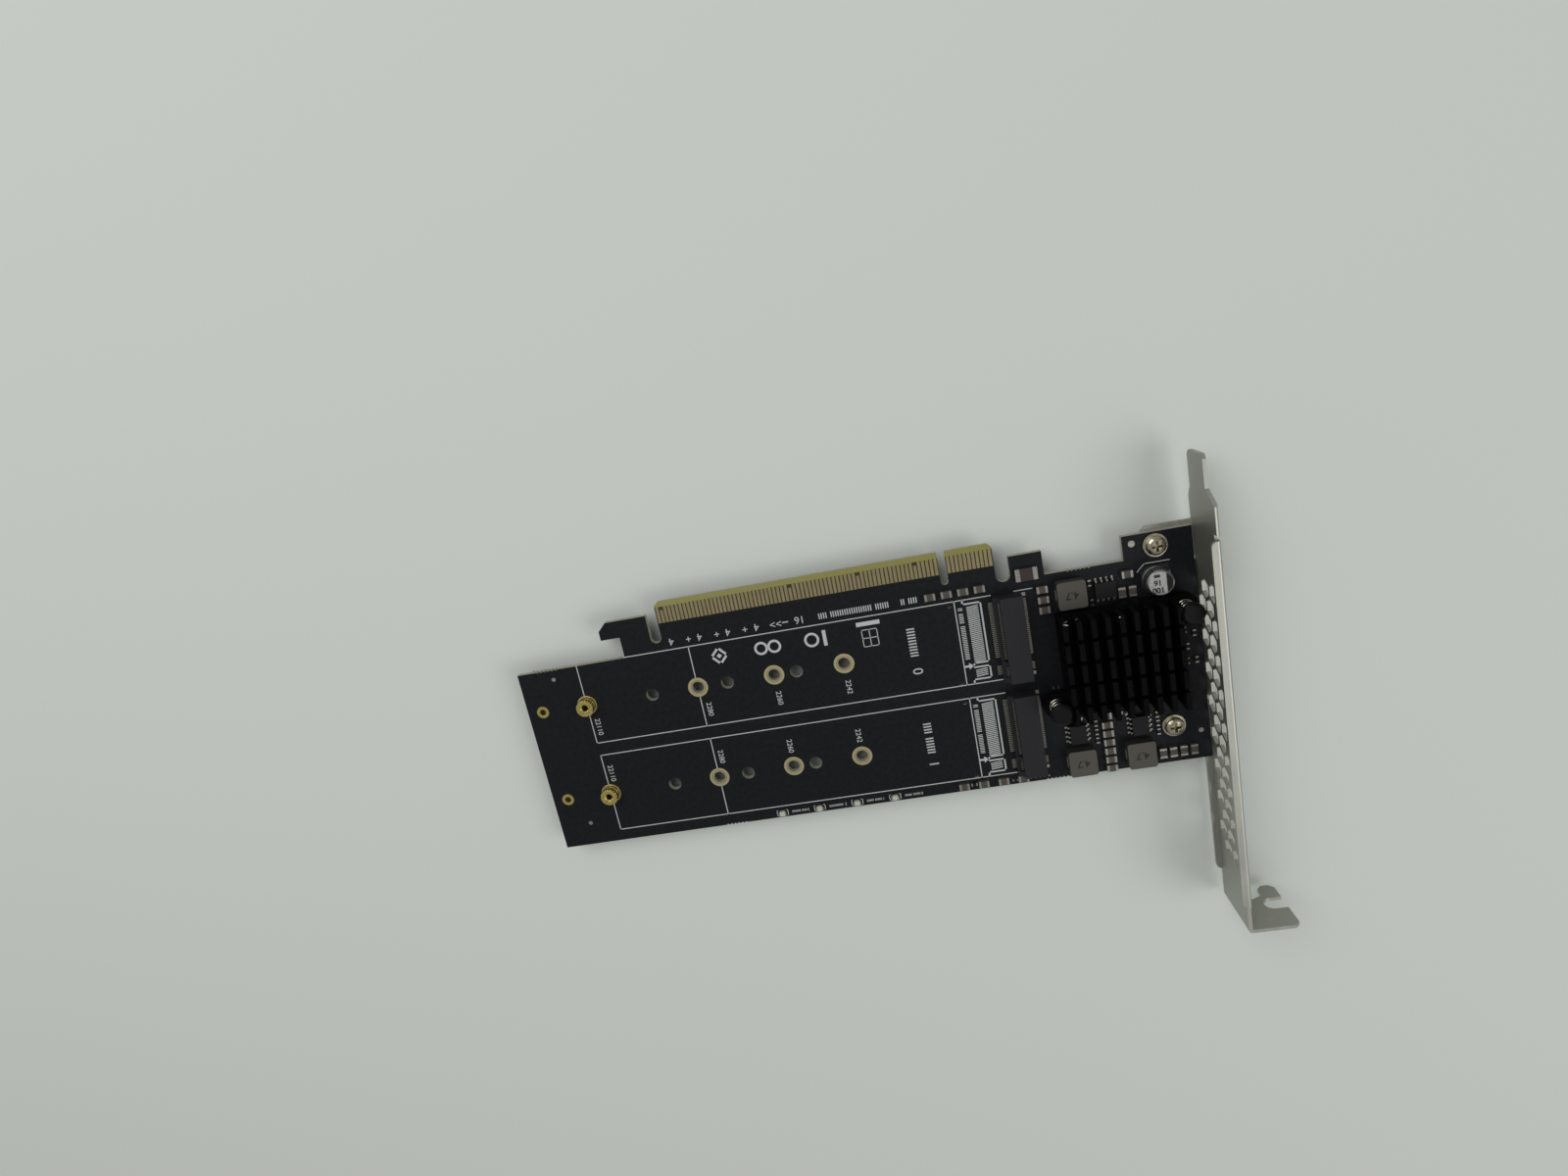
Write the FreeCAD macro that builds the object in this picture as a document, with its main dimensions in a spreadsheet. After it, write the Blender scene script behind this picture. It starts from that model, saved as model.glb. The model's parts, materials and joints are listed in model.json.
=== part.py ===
"""Four-slot M.2 adapter card with a full-height vented slot bracket.

The card lies in the XY plane with its component side up: X runs towards the
slot bracket, Y towards the gold edge contacts, and the origin is the middle of
the connector key, on the tip line of the contacts, on the component face.
"""
import FreeCAD, Part
import os
import re
import Sketcher

DOCUMENT = FreeCAD.newDocument("nvme_adapter_card")
SHEET = DOCUMENT.addObject("Spreadsheet::Sheet", "dim")

# Driving dimensions in millimetres: name, value, what it is.
SIZES = [
    # circuit board
    ("board_thick", 1.6, "thickness of the circuit board"),
    ("end_margin", 4.02, "last standoff on the back to the end of the board"),
    ("power_wide", 39.78, "front socket tails to the bracket end of the board"),
    ("far_margin", 14.04, "lower bay's centreline to the far long edge"),
    ("left_shoulder", 13.0, "drop of the long edge left of the hook"),
    ("right_shoulder", 4.0, "drop of the edge right of the tongue"),
    ("tongue_margin", 0.65, "last contact's middle to the end of the tongue"),
    ("tongue_corner", 1.0, "corner cut of the tongue"),
    ("bevel_run", 1.3, "length of the lead-in bevel of the tongue"),
    ("bevel_fall", 0.4, "depth of the lead-in bevel on each face"),
    ("key_width", 1.9, "width of the connector key slot"),
    ("key_depth", 8.25, "depth of the connector key slot"),
    ("end_slot_width", 3.45, "width of the relief slot beside the tongue"),
    ("end_slot_depth", 10.0, "depth of the relief slot beside the tongue"),
    ("hook_slot_width", 2.85, "width of the slot between hook and tongue"),
    ("hook_slot_depth", 10.55, "depth of the slot between hook and tongue"),
    ("hook_post", 7.8, "width of the retention hook's post"),
    ("hook_nose", 5.0, "reach of the retention hook's nose"),
    ("hook_top", 3.0, "drop of the top of the hook"),
    ("hook_throat", 7.45, "drop of the underside of the hook nose"),
    ("hook_chamfer", 2.1, "corner cut of the hook nose"),
    ("edge_land", 7.9, "edge between the relief slot and the recess"),
    ("recess_long", 18.6, "length of the shallow recess in the edge"),
    ("recess_drop", 9.9, "drop of the recess floor"),
    ("nick_wide", 0.5, "width of the break-off perforations"),
    ("nick_deep", 0.25, "depth of the break-off perforations"),
    ("nick_pitch", 1.0, "spacing of the break-off perforations"),
    ("nick_count", 6, "perforations at each break-off tab"),
    ("nick_inset", 5.5, "start of a row of perforations from its corner"),
    # gold edge contacts
    ("copper_thick", 0.05, "height of plated copper above the board"),
    ("contact_pitch", 1.0, "spacing of the edge contacts"),
    ("contact_width", 0.7, "width of an edge contact"),
    ("contact_end", 5.5, "drop of the inner end of the contacts"),
    ("contact_first", 1.5, "key to the first contact on each side"),
    ("contacts_right", 11, "contacts on the short side of the key"),
    ("contacts_left", 71, "contacts on the long side of the key"),
    ("short_contact_cut", 0.9, "what the presence contacts stop short by"),
    # module bays
    ("front_stop", 14.12, "module stop of the sockets on the front"),
    ("back_stop", 1.92, "module stop of the sockets on the back"),
    ("row_upper", 24.0, "drop of the upper bay's centreline"),
    ("row_pitch", 25.66, "spacing of the two bays"),
    ("module_1", 42.0, "stop to screw of the shortest module"),
    ("module_2", 60.0, "stop to screw of the second module"),
    ("module_3", 80.0, "stop to screw of the third module"),
    ("module_4", 110.0, "stop to screw of the longest module"),
    ("front_hole", 3.1, "diameter of the plated standoff holes"),
    ("back_hole", 3.3, "diameter of the holes for back standoffs"),
    # standoffs
    ("standoff_head", 4.3, "diameter of a standoff"),
    ("standoff_tall", 2.5, "height of a standoff above the board"),
    ("shank_clearance", 0.1, "what a pressed-in shank is thinner than its hole"),
    ("standoff_bore", 1.6, "core diameter of the module screw thread"),
    ("standoff_chamfer", 0.3, "chamfer at the mouth of the thread"),
    # module sockets, measured from the module stop
    ("end_wall", 1.7, "last contact's middle to the end of a socket"),
    ("cheek_wide", 1.35, "thickness of the end cheeks of a socket"),
    ("slot_floor", 2.15, "height of the floor of the module slot"),
    ("slot_gap", 1.05, "height of the module slot"),
    ("roof_thick", 1.0, "thickness of the socket roof"),
    ("roof_front", 2.3, "stop to the front edge of the socket roof"),
    ("blade_start", 2.1, "stop to the inner side of the contacts"),
    ("blade_deep", 0.65, "depth of a contact in its row"),
    ("lip_thick", 0.95, "thickness of the socket lip"),
    ("lip_drop", 0.25, "floor of the module slot to the top of the lip"),
    ("back_wall", 0.45, "thickness of the back wall of a socket"),
    ("peg_setback", 1.9, "stop to the locating pegs"),
    ("peg_inset", 0.75, "end of the socket to its locating peg"),
    ("peg_diameter", 1.0, "diameter of a locating peg"),
    ("peg_long", 1.2, "length of a locating peg"),
    ("peg_clearance", 0.1, "clearance round a locating peg"),
    ("pin_pitch", 0.5, "spacing of contacts in one row"),
    ("pin_wide", 0.24, "width of a socket contact"),
    ("pin_thick", 0.15, "thickness of the soldered tail"),
    ("pin_proud", 0.15, "what a lower contact stands above the slot floor"),
    ("tail_reach", 1.1, "reach of the tails outside the housing"),
    ("anchor_wide", 0.9, "width of a solder anchor"),
    ("anchor_thick", 0.2, "thickness of a solder anchor"),
    ("anchor_tall", 1.6, "height of a solder anchor"),
    # slot bracket
    ("bracket_gap", 0.7, "end of the board to the bracket"),
    ("bracket_thick", 0.9, "thickness of the bracket sheet"),
    ("bracket_back", 4.12, "board face down to the back edge of the bracket"),
    ("bracket_wide", 18.42, "width of the bracket"),
    ("bracket_long", 120.02, "length of the bracket"),
    ("bracket_tip", 13.8, "contact tips to the tip of the bracket tongue"),
    ("blade_wide", 10.19, "width of the bracket tongue"),
    ("blade_offset", 3.15, "back edge of the bracket to its tongue"),
    ("blade_corner", 1.1, "corner cut of the bracket tongue"),
    ("taper_front", 6.0, "where the tongue starts to widen at the front"),
    ("taper_back", 5.0, "where the tongue starts to widen at the back"),
    ("taper_end", 2.7, "where the tongue reaches full width"),
    ("lip_start", 5.0, "start of the stiffening lips"),
    ("foot_long", 8.22, "length of the bracket foot past the lips"),
    ("lip_wide", 2.2, "width of the stiffening lips"),
    ("lip_round", 1.5, "corner radius of the stiffening lips"),
    ("relief_gap", 1.2, "bend relief beside the lips and tabs"),
    ("foot_inset_front", 1.4, "inset of the bracket foot at the front"),
    ("foot_inset_back", 0.45, "inset of the bracket foot at the back"),
    ("flange_deep", 11.43, "depth of the mounting flange"),
    ("flange_neck", 5.0, "back edge of the foot to the flange neck"),
    ("flange_ear", 4.2, "depth of the overhanging ear of the flange"),
    ("flange_round", 1.2, "corner cut of the flange"),
    ("screw_slot_wide", 4.42, "width of the chassis screw slot"),
    ("screw_slot_deep", 5.1, "depth of the chassis screw slot"),
    ("screw_slot_z", 7.6, "back edge of the bracket to the slot's middle"),
    ("bend_round", 0.8, "outside radius of the bends"),
    ("vent_first", 18.8, "drop of the first row of vents"),
    ("vent_pitch", 5.02, "spacing of the hexagonal vents"),
    ("vent_row", 4.34, "spacing of the rows of vents"),
    ("vent_flats", 4.2, "width across flats of a vent"),
    ("vent_shift", 0.5, "offset of the vents from the bracket's middle"),
    ("vent_margin", 7.5, "plain sheet kept between the vents and the foot"),
    # bracket fixing
    ("screw_inset", 8.6, "end of the board to the bracket screws"),
    ("screw_upper", 7.3, "drop of the upper bracket screw"),
    ("screw_lower", 9.9, "far long edge to the lower bracket screw"),
    ("screw_play", 0.3, "what the board's screw holes are wider than a shank"),
    ("screw_washer", 5.8, "diameter of the flange under a screw head"),
    ("washer_thick", 0.5, "thickness of the flange under a screw head"),
    ("screw_head", 4.6, "diameter of the screw heads"),
    ("head_tall", 1.5, "height of a screw head above its flange"),
    ("screw_shank", 2.9, "diameter of the screw shanks"),
    ("screw_long", 4.0, "length of the screws below the head"),
    ("screw_point", 0.3, "chamfer at the end of a screw"),
    ("tab_reach", 4.1, "screw to the end of its board tab"),
    ("tab_above", 4.4, "tab edge above its screw"),
    ("tab_below", 4.6, "tab edge below its screw"),
    ("tab_corner", 2.6, "corner cut of the tabs"),
    ("collar_outer", 4.4, "diameter of the tapped collar on a tab"),
    ("collar_tall", 0.9, "height of the tapped collar on a tab"),
    # heatsink and chip
    ("sink_inset", 20.35, "end of the board to the heatsink's middle"),
    ("sink_drop", 32.35, "drop of the heatsink's middle"),
    ("sink_long", 27.0, "side of the heatsink along the card"),
    ("sink_deep", 25.9, "side of the heatsink across the card"),
    ("fin_tall", 6.9, "height of the fins above the heatsink base"),
    ("sink_base", 2.2, "thickness of the heatsink base"),
    ("chip_side", 17.0, "side of the chip under the heatsink"),
    ("chip_tall", 1.4, "height of the chip"),
    ("pad_thick", 0.5, "thickness of the thermal pad"),
    ("fin_count", 9, "number of fin columns"),
    ("fin_thick", 1.2, "thickness of a fin"),
    ("cross_cuts", 4, "number of cuts across the fins"),
    ("cross_wide", 1.0, "width of a cut across the fins"),
    ("ear_reach", 2.5, "side of the heatsink to the push pins"),
    ("ear_inset", 2.95, "upper and lower side of the heatsink to its pin"),
    ("ear_wall", 1.75, "metal round the push pin holes"),
    ("pin_play", 0.3, "what a push pin hole is wider than its shaft"),
    ("pin_shaft", 2.8, "diameter of the push pin shafts"),
    ("pin_head", 5.5, "diameter of the push pin heads"),
    ("pin_head_tall", 1.3, "height of the push pin heads"),
    ("pin_head_room", 0.45, "gap between a push pin head and the fins"),
    ("barb_proud", 0.45, "what the barbs stand out from the shafts"),
    ("barb_tall", 0.6, "height of the widest part of the barbs"),
    ("pin_tip", 2.2, "reach of the push pins behind the board"),
    ("spring_long", 5.0, "length of the fitted springs"),
    ("spring_play", 0.2, "gap between a spring and its shaft"),
    ("spring_wire", 0.42, "wire thickness of the springs"),
    ("spring_turns", 3, "turns of the springs"),
    # power stage
    ("coil_side", 6.8, "side of the moulded inductors"),
    ("coil_tall", 3.0, "height of the moulded inductors"),
    ("coil_round", 0.7, "corner radius of the moulded inductors"),
    ("coil_lead_wide", 2.6, "width of the inductor terminals"),
    ("coil_lead_thick", 0.2, "thickness of the inductor terminals"),
    ("coil_lead_tall", 1.1, "height of the inductor terminals"),
    ("coil_lead_tuck", 1.6, "reach of the terminals under the inductor"),
    ("can_diameter", 6.3, "diameter of the capacitor can"),
    ("can_tall", 5.4, "height of the capacitor"),
    ("can_border", 0.15, "what the plastic base stands out from the can"),
    ("can_base_tall", 0.9, "height of the capacitor's plastic base"),
    ("can_base_corner", 1.4, "corner cut of the plastic base"),
    ("can_groove", 0.25, "depth of the groove round the can"),
    ("can_groove_rise", 0.45, "base to the groove round the can"),
    ("can_groove_wide", 0.6, "width of the groove round the can"),
    ("can_shoulder", 0.35, "bevel round the top of the can"),
    ("driver_margin", 1.1, "what a driver chip is longer than its leads' span"),
    ("driver_wide", 3.9, "width of a driver chip"),
    ("driver_tall", 1.5, "height of a driver chip"),
    ("lead_reach", 1.05, "reach of a chip lead"),
    ("lead_shelf", 0.45, "length of a chip lead's upper bend"),
    ("lead_pitch", 1.27, "spacing of the chip leads"),
    ("lead_wide", 0.42, "width of a chip lead"),
    ("lead_thick", 0.2, "thickness of a chip lead"),
    ("lead_shoulder", 0.9, "height of the lead shoulder"),
    ("lead_count", 4, "leads on each side of a chip"),
    # small parts
    ("cap_long", 2.6, "length of a ceramic capacitor"),
    ("cap_wide", 1.7, "width of a ceramic capacitor"),
    ("cap_tall", 1.2, "height of a ceramic capacitor"),
    ("cap_end", 0.55, "length of a capacitor's metal end"),
    ("chip_long", 1.6, "length of a chip resistor"),
    ("chip_wide", 0.8, "width of a chip resistor"),
    ("resistor_tall", 0.5, "height of a chip resistor"),
    ("chip_end", 0.35, "length of a resistor's metal end"),
    ("led_long", 2.0, "length of a status light"),
    ("led_wide", 1.25, "width of a status light"),
    ("led_tall", 0.8, "height of a status light"),
    ("led_end", 0.35, "length of a status light's metal end"),
    ("led_first", 51.5, "key to the first status light"),
    ("led_pitch", 10.0, "spacing of the status lights"),
    ("led_inset", 1.2, "far edge of the board to the status lights"),
    ("fuse_long", 5.3, "length of the resettable fuse"),
    ("fuse_wide", 3.1, "width of the resettable fuse"),
    ("fuse_tall", 0.9, "height of the resettable fuse"),
    ("fuse_end", 1.1, "length of the fuse's metal ends"),
    ("fuse_drop", 8.9, "drop of the fuse's middle"),
]

# Places that follow from the sizes, as expressions for the sheet.
BAYS = ["-row_upper", "-(row_upper + row_pitch)"]
BOARD_LEFT = "(module_4 - back_stop + end_margin)"
BOARD_DEPTH = "(row_upper + row_pitch + far_margin)"
LAST_LEFT = "(contact_first + (contacts_left - 1) * contact_pitch)"
LAST_RIGHT = "(contact_first + (contacts_right - 1) * contact_pitch)"
TONGUE_LEFT = "(%s + tongue_margin)" % LAST_LEFT
TONGUE_RIGHT = "(%s + tongue_margin)" % LAST_RIGHT
HOOK_NECK = "(%s + hook_slot_width + hook_post)" % TONGUE_LEFT
HOOK_LEFT = "(%s + hook_nose)" % HOOK_NECK
RECESS_LEFT = "(%s + end_slot_width + edge_land)" % TONGUE_RIGHT
RECESS_RIGHT = "(%s + recess_long)" % RECESS_LEFT

LIP_FRONT = "(blade_start + blade_deep + lip_thick)"
SOCKET_BACK = "(blade_start + blade_deep + back_wall)"
ROOF_UNDER = "(slot_floor + slot_gap)"
SOCKET_TALL = "(slot_floor + slot_gap + roof_thick)"
LIP_TALL = "(slot_floor - lip_drop)"
# A module socket has 75 contact places, half a pitch apart, less its key.
SOCKET_LONG = "(37 * pin_pitch + 2 * end_wall)"
FIRST_PIN = "(18.5 * pin_pitch)"
KEY_GAP = "(33 * pin_pitch)"
KEY_RIB = "(12.25 * pin_pitch)"
KEY_RIB_WIDE = "(2.5 * pin_pitch)"
PINS_BEFORE_KEY = "29"
LOWER_PINS_AFTER_KEY = "5"
UPPER_PINS_AFTER_KEY = "4"
PEG_SPAN = "(%s / 2 - peg_inset)" % SOCKET_LONG

BOARD_RIGHT = "(front_stop + %s + tail_reach + power_wide)" % SOCKET_BACK
BRACKET_X = "(%s + bracket_gap + bracket_thick)" % BOARD_RIGHT
BRACKET_FRONT = "(bracket_wide - bracket_back)"
BRACKET_FOOT = "(bracket_tip - bracket_long)"
LIP_END = "(bracket_long - bracket_tip - foot_long)"
TAB_FACE = "(-board_thick - bracket_thick)"
SCREW_X = "(%s - screw_inset)" % BOARD_RIGHT
SCREW_ROWS = ["-screw_upper", "(screw_lower - %s)" % BOARD_DEPTH]

SINK_X = "(%s - sink_inset)" % BOARD_RIGHT
SINK_LOW = "(chip_tall + pad_thick)"
SINK_UPPER = "(sink_deep / 2 - sink_drop)"
SINK_LOWER = "(-sink_deep / 2 - sink_drop)"
EAR_X = "(sink_long / 2 + ear_reach)"
EAR_Y = "(sink_deep / 2 - ear_inset)"
PIN_HOLE = "(pin_shaft + pin_play)"
PIN_SEAT = "(%s + sink_base)" % SINK_LOW
PIN_UNDER_HEAD = "(%s + spring_long)" % PIN_SEAT
DRIVER_LONG = "((lead_count - 1) * lead_pitch + driver_margin)"

# Contacts of the long run that stop short, counted from the key.
SHORT_CONTACTS = [5, 19, 36, 69]

# Power stage: x from the heatsink's middle, y up from its upper side or
# down from its lower side.
UPPER_INDUCTORS = [(-8.95, 4.1)]
LOWER_INDUCTORS = [(-11.45, -14.0), (2.9, -14.1)]
UPPER_DRIVERS = [(-0.85, 3.5, 90)]
LOWER_DRIVERS = [(-11.45, -6.8, 0), (3.6, -6.8, 0)]
ELECTROLYTIC = ("sink_long / 2 - 2.65", 4.2)
UPPER_CAPACITORS_ALONG = [(-15.45, 6.1 - 2.6 * k) for k in range(3)] + [(4.55, 6.4)]
UPPER_CAPACITORS_ACROSS = [(2.9, 2.1), (5.35, 2.1)]
LOWER_CAPACITORS_ALONG = [(-4.25, -3.1 - 2.37 * k) for k in range(7)]
LOWER_CAPACITORS_ACROSS = [(8.35 + 2.5 * k, -15.3) for k in range(4)]
LOWER_SMALL_ALONG = [(-9.45, -3.0), (0.35, -3.0)]
UPPER_RESISTORS_ACROSS = [(-4.25, 5.6), (-4.15, 0.7)]
LOWER_RESISTORS_ACROSS = [(x, -4.9 - 2.3 * k) for x in (-6.85, 8.0) for k in range(3)]
# Beside the heatsink, from its middle.
SIDE_RESISTORS_ACROSS = [(16.4, 3.0), (18.6, 1.9), (16.8, -1.3), (16.5, -5.0), (18.6, -5.0)]
SIDE_RESISTORS_ALONG = [(-15.25, -6.7)]
# Along the two long edges, x from the key.
EDGE_CAPACITORS = [(-4.2 + 4.0 * k, "-10.5") for k in range(4)]
EDGE_CAPACITORS += [(-3.5 + 5.02 * k, "1.6 - %s" % BOARD_DEPTH) for k in range(4)]
EDGE_RESISTORS = [(-0.9, "1.6 - %s" % BOARD_DEPTH)]


def fill_sheet():
    """Write every size as plain text beside its meaning."""
    for row, (name, value, meaning) in enumerate(SIZES, start=1):
        SHEET.set("A%d" % row, meaning)
        SHEET.set("B%d" % row, str(value))
        SHEET.setAlias("B%d" % row, name)
    DOCUMENT.recompute()


def add_sheet(match):
    word = match.group()
    return "dim." + word if word in NAMES else word


def dims(text):
    """Put the sheet's name before each size named in an expression."""
    return re.sub("[a-z][a-z_0-9]*", add_sheet, text)


def number(text):
    """The value that an expression has now."""
    return float(SHEET.evalExpression(dims(text)))


def bind(thing, prop, text):
    thing.setExpression(prop, dims(text))


# ---------------------------------------------------------------- helpers

def new_body(label):
    body = DOCUMENT.addObject("PartDesign::Body", label)
    body.Label = label
    return body


def origin_part(body, role):
    return next(o for o in body.Origin.OriginFeatures if o.Role == role)


def new_sketch(body, plane, level="0"):
    """A sketch on a plane of the body's own origin, lifted to a level."""
    sketch = body.newObject("Sketcher::SketchObject", body.Name + "_sketch")
    sketch.AttachmentSupport = [(origin_part(body, plane + "_Plane"), "")]
    sketch.MapMode = "FlatFace"
    bind(sketch, "AttachmentOffset.Base.z", level)
    return sketch


def pin_point(sketch, geometry, end, across, up):
    """Tie one point of a sketch to one or two expressions."""
    for kind, text in (("DistanceX", across), ("DistanceY", up)):
        if text is None:
            continue
        rule = Sketcher.Constraint(kind, geometry, end, number(text))
        index = sketch.addConstraint(rule)
        bind(sketch, "Constraints[%d]" % index, text)


def polygon(sketch, corners):
    """A closed outline through corners given as pairs of expressions."""
    spots = [FreeCAD.Vector(number(x), number(y), 0) for x, y in corners]
    count = len(spots)
    sides = []
    for k in range(count):
        side = Part.LineSegment(spots[k], spots[(k + 1) % count])
        sides.append(sketch.addGeometry(side))
    for k in range(count):
        follow = sides[(k + 1) % count]
        sketch.addConstraint(Sketcher.Constraint("Coincident", sides[k], 2, follow, 1))
    for k, (x, y) in enumerate(corners):
        pin_point(sketch, sides[k], 1, x, y)


def rectangle(sketch, left, right, low, high):
    polygon(sketch, [(left, low), (right, low), (right, high), (left, high)])


def circle(sketch, x, y, diameter):
    centre = FreeCAD.Vector(number(x), number(y), 0)
    axis = FreeCAD.Vector(0, 0, 1)
    ring = sketch.addGeometry(Part.Circle(centre, axis, number(diameter) / 2))
    pin_point(sketch, ring, 3, x, y)
    rule = Sketcher.Constraint("Diameter", ring, number(diameter))
    bind(sketch, "Constraints[%d]" % sketch.addConstraint(rule), diameter)


def round_slot(sketch, middle, width, mouth, depth):
    """A slot open at the mouth, with a half-round bottom at -depth."""
    half = "(" + width + ") / 2"
    left = number("%s - %s" % (middle, half))
    right = number("%s + %s" % (middle, half))
    low = number("%s - (%s)" % (half, depth))
    high = number(mouth)
    spot = FreeCAD.Vector
    walls = [
        (spot(right, low, 0), spot(right, high, 0)),
        (spot(right, high, 0), spot(left, high, 0)),
        (spot(left, high, 0), spot(left, low, 0)),
    ]
    lines = [sketch.addGeometry(Part.LineSegment(a, b)) for a, b in walls]
    bottom = spot((left + right) / 2, number("-(%s)" % depth), 0)
    bend = Part.Arc(spot(left, low, 0), bottom, spot(right, low, 0))
    arc = sketch.addGeometry(bend)
    join = Sketcher.Constraint
    sketch.addConstraint(join("Coincident", lines[0], 2, lines[1], 1))
    sketch.addConstraint(join("Coincident", lines[1], 2, lines[2], 1))
    sketch.addConstraint(join("Coincident", lines[2], 2, arc, 1))
    sketch.addConstraint(join("Coincident", arc, 2, lines[0], 1))
    pin_point(sketch, lines[0], 2, "%s + %s" % (middle, half), mouth)
    pin_point(sketch, lines[2], 1, "%s - %s" % (middle, half), mouth)
    pin_point(sketch, lines[0], 1, "%s + %s" % (middle, half), "%s - (%s)" % (half, depth))
    pin_point(sketch, lines[2], 2, "%s - %s" % (middle, half), "%s - (%s)" % (half, depth))
    pin_point(sketch, arc, 3, None, "%s - (%s)" % (half, depth))


def hexagon(sketch, x, y, flats):
    """A regular hexagon with two flats along the sketch's own X."""
    half = "(%s) / 2" % flats
    corner = "(%s) / sqrt(3)" % flats
    signs = [(1, 1), (0, 2), (-1, 1), (-1, -1), (0, -2), (1, -1)]
    corners = []
    for across, up in signs:
        corners.append(("%s + %d * %s / 2" % (x, up, corner), "%s + %d * %s" % (y, across, half)))
    polygon(sketch, corners)


def pad(body, sketch, length, both=False, reverse=False):
    feature = body.newObject("PartDesign::Pad", body.Name + "_pad")
    feature.Profile = sketch
    bind(feature, "Length", length)
    feature.SideType = "Symmetric" if both else "One side"
    feature.Reversed = reverse
    return feature


def pocket(body, sketch, length=None, both=False, reverse=False):
    feature = body.newObject("PartDesign::Pocket", body.Name + "_pocket")
    feature.Profile = sketch
    if length is None:
        feature.Type = "ThroughAll"
    else:
        bind(feature, "Length", length)
    feature.SideType = "Symmetric" if both else "One side"
    feature.Reversed = reverse
    return feature


def pattern(body, features, axis, spacing, count, reverse=False):
    """Repeat features along one axis of the body at a fixed spacing."""
    row = body.newObject("PartDesign::LinearPattern", body.Name + "_row")
    row.Originals = features
    row.Direction = (origin_part(body, axis + "_Axis"), [""])
    row.Mode = "Spacing"
    bind(row, "Offset", spacing)
    bind(row, "Occurrences", count)
    row.Reversed = reverse
    body.Tip = row
    return row


def revolve(body, corners):
    """A turned piece about Z from an outline of (radius, height) corners."""
    sketch = new_sketch(body, "XZ")
    polygon(sketch, corners)
    feature = body.newObject("PartDesign::Revolution", body.Name + "_turned")
    feature.Profile = sketch
    feature.ReferenceAxis = (sketch, ["V_Axis"])
    feature.Angle = 360
    return feature


def place(thing, x, y, z="0"):
    bind(thing, "Placement.Base.x", x)
    bind(thing, "Placement.Base.y", y)
    bind(thing, "Placement.Base.z", z)


def box(label, size, corner):
    """A plain block from expressions for its size and its low corner."""
    block = DOCUMENT.addObject("Part::Box", label)
    for prop, text in zip(("Length", "Width", "Height"), size):
        bind(block, prop, text)
    place(block, *corner)
    return block


def gather(label, pieces):
    """One node that holds like pieces as separate solids."""
    group = DOCUMENT.addObject("Part::Compound", label)
    group.Label = label
    group.Links = pieces
    return group


def upright_edges(feature, spots, reach):
    """Names of the Z-direction edges that stand at the given (x, y) spots."""
    names = []
    for index, edge in enumerate(feature.Shape.Edges, start=1):
        box_of_edge = edge.BoundBox
        if box_of_edge.ZLength < reach or box_of_edge.DiagonalLength > box_of_edge.ZLength + 1e-6:
            continue
        for x, y in spots:
            near = abs(box_of_edge.XMin - x) < 1e-4 and abs(box_of_edge.YMin - y) < 1e-4
            if near:
                names.append("Edge%d" % index)
    return names


def long_edges(feature, first, second, spots):
    """Names of edges along the third axis at given places on two axes."""
    names = []
    lengths = {"X": "XLength", "Y": "YLength", "Z": "ZLength"}
    third = next(axis for axis in "XYZ" if axis not in (first, second))
    for index, edge in enumerate(feature.Shape.Edges, start=1):
        bounds = edge.BoundBox
        if getattr(bounds, lengths[third]) < 1:
            continue
        if getattr(bounds, lengths[first]) + getattr(bounds, lengths[second]) > 1e-6:
            continue
        here = (getattr(bounds, first + "Min"), getattr(bounds, second + "Min"))
        for spot in spots:
            if abs(here[0] - spot[0]) < 1e-4 and abs(here[1] - spot[1]) < 1e-4:
                names.append("Edge%d" % index)
    return names


def fillet(body, feature, names, radius):
    rounding = body.newObject("PartDesign::Fillet", body.Name + "_fillet")
    rounding.Base = (feature, names)
    bind(rounding, "Radius", radius)
    return rounding


# ---------------------------------------------------------- circuit board

def module_places(stop):
    """Screw places of the four module lengths along one bay."""
    return ["%s - module_%d" % (stop, k) for k in (1, 2, 3, 4)]


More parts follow.
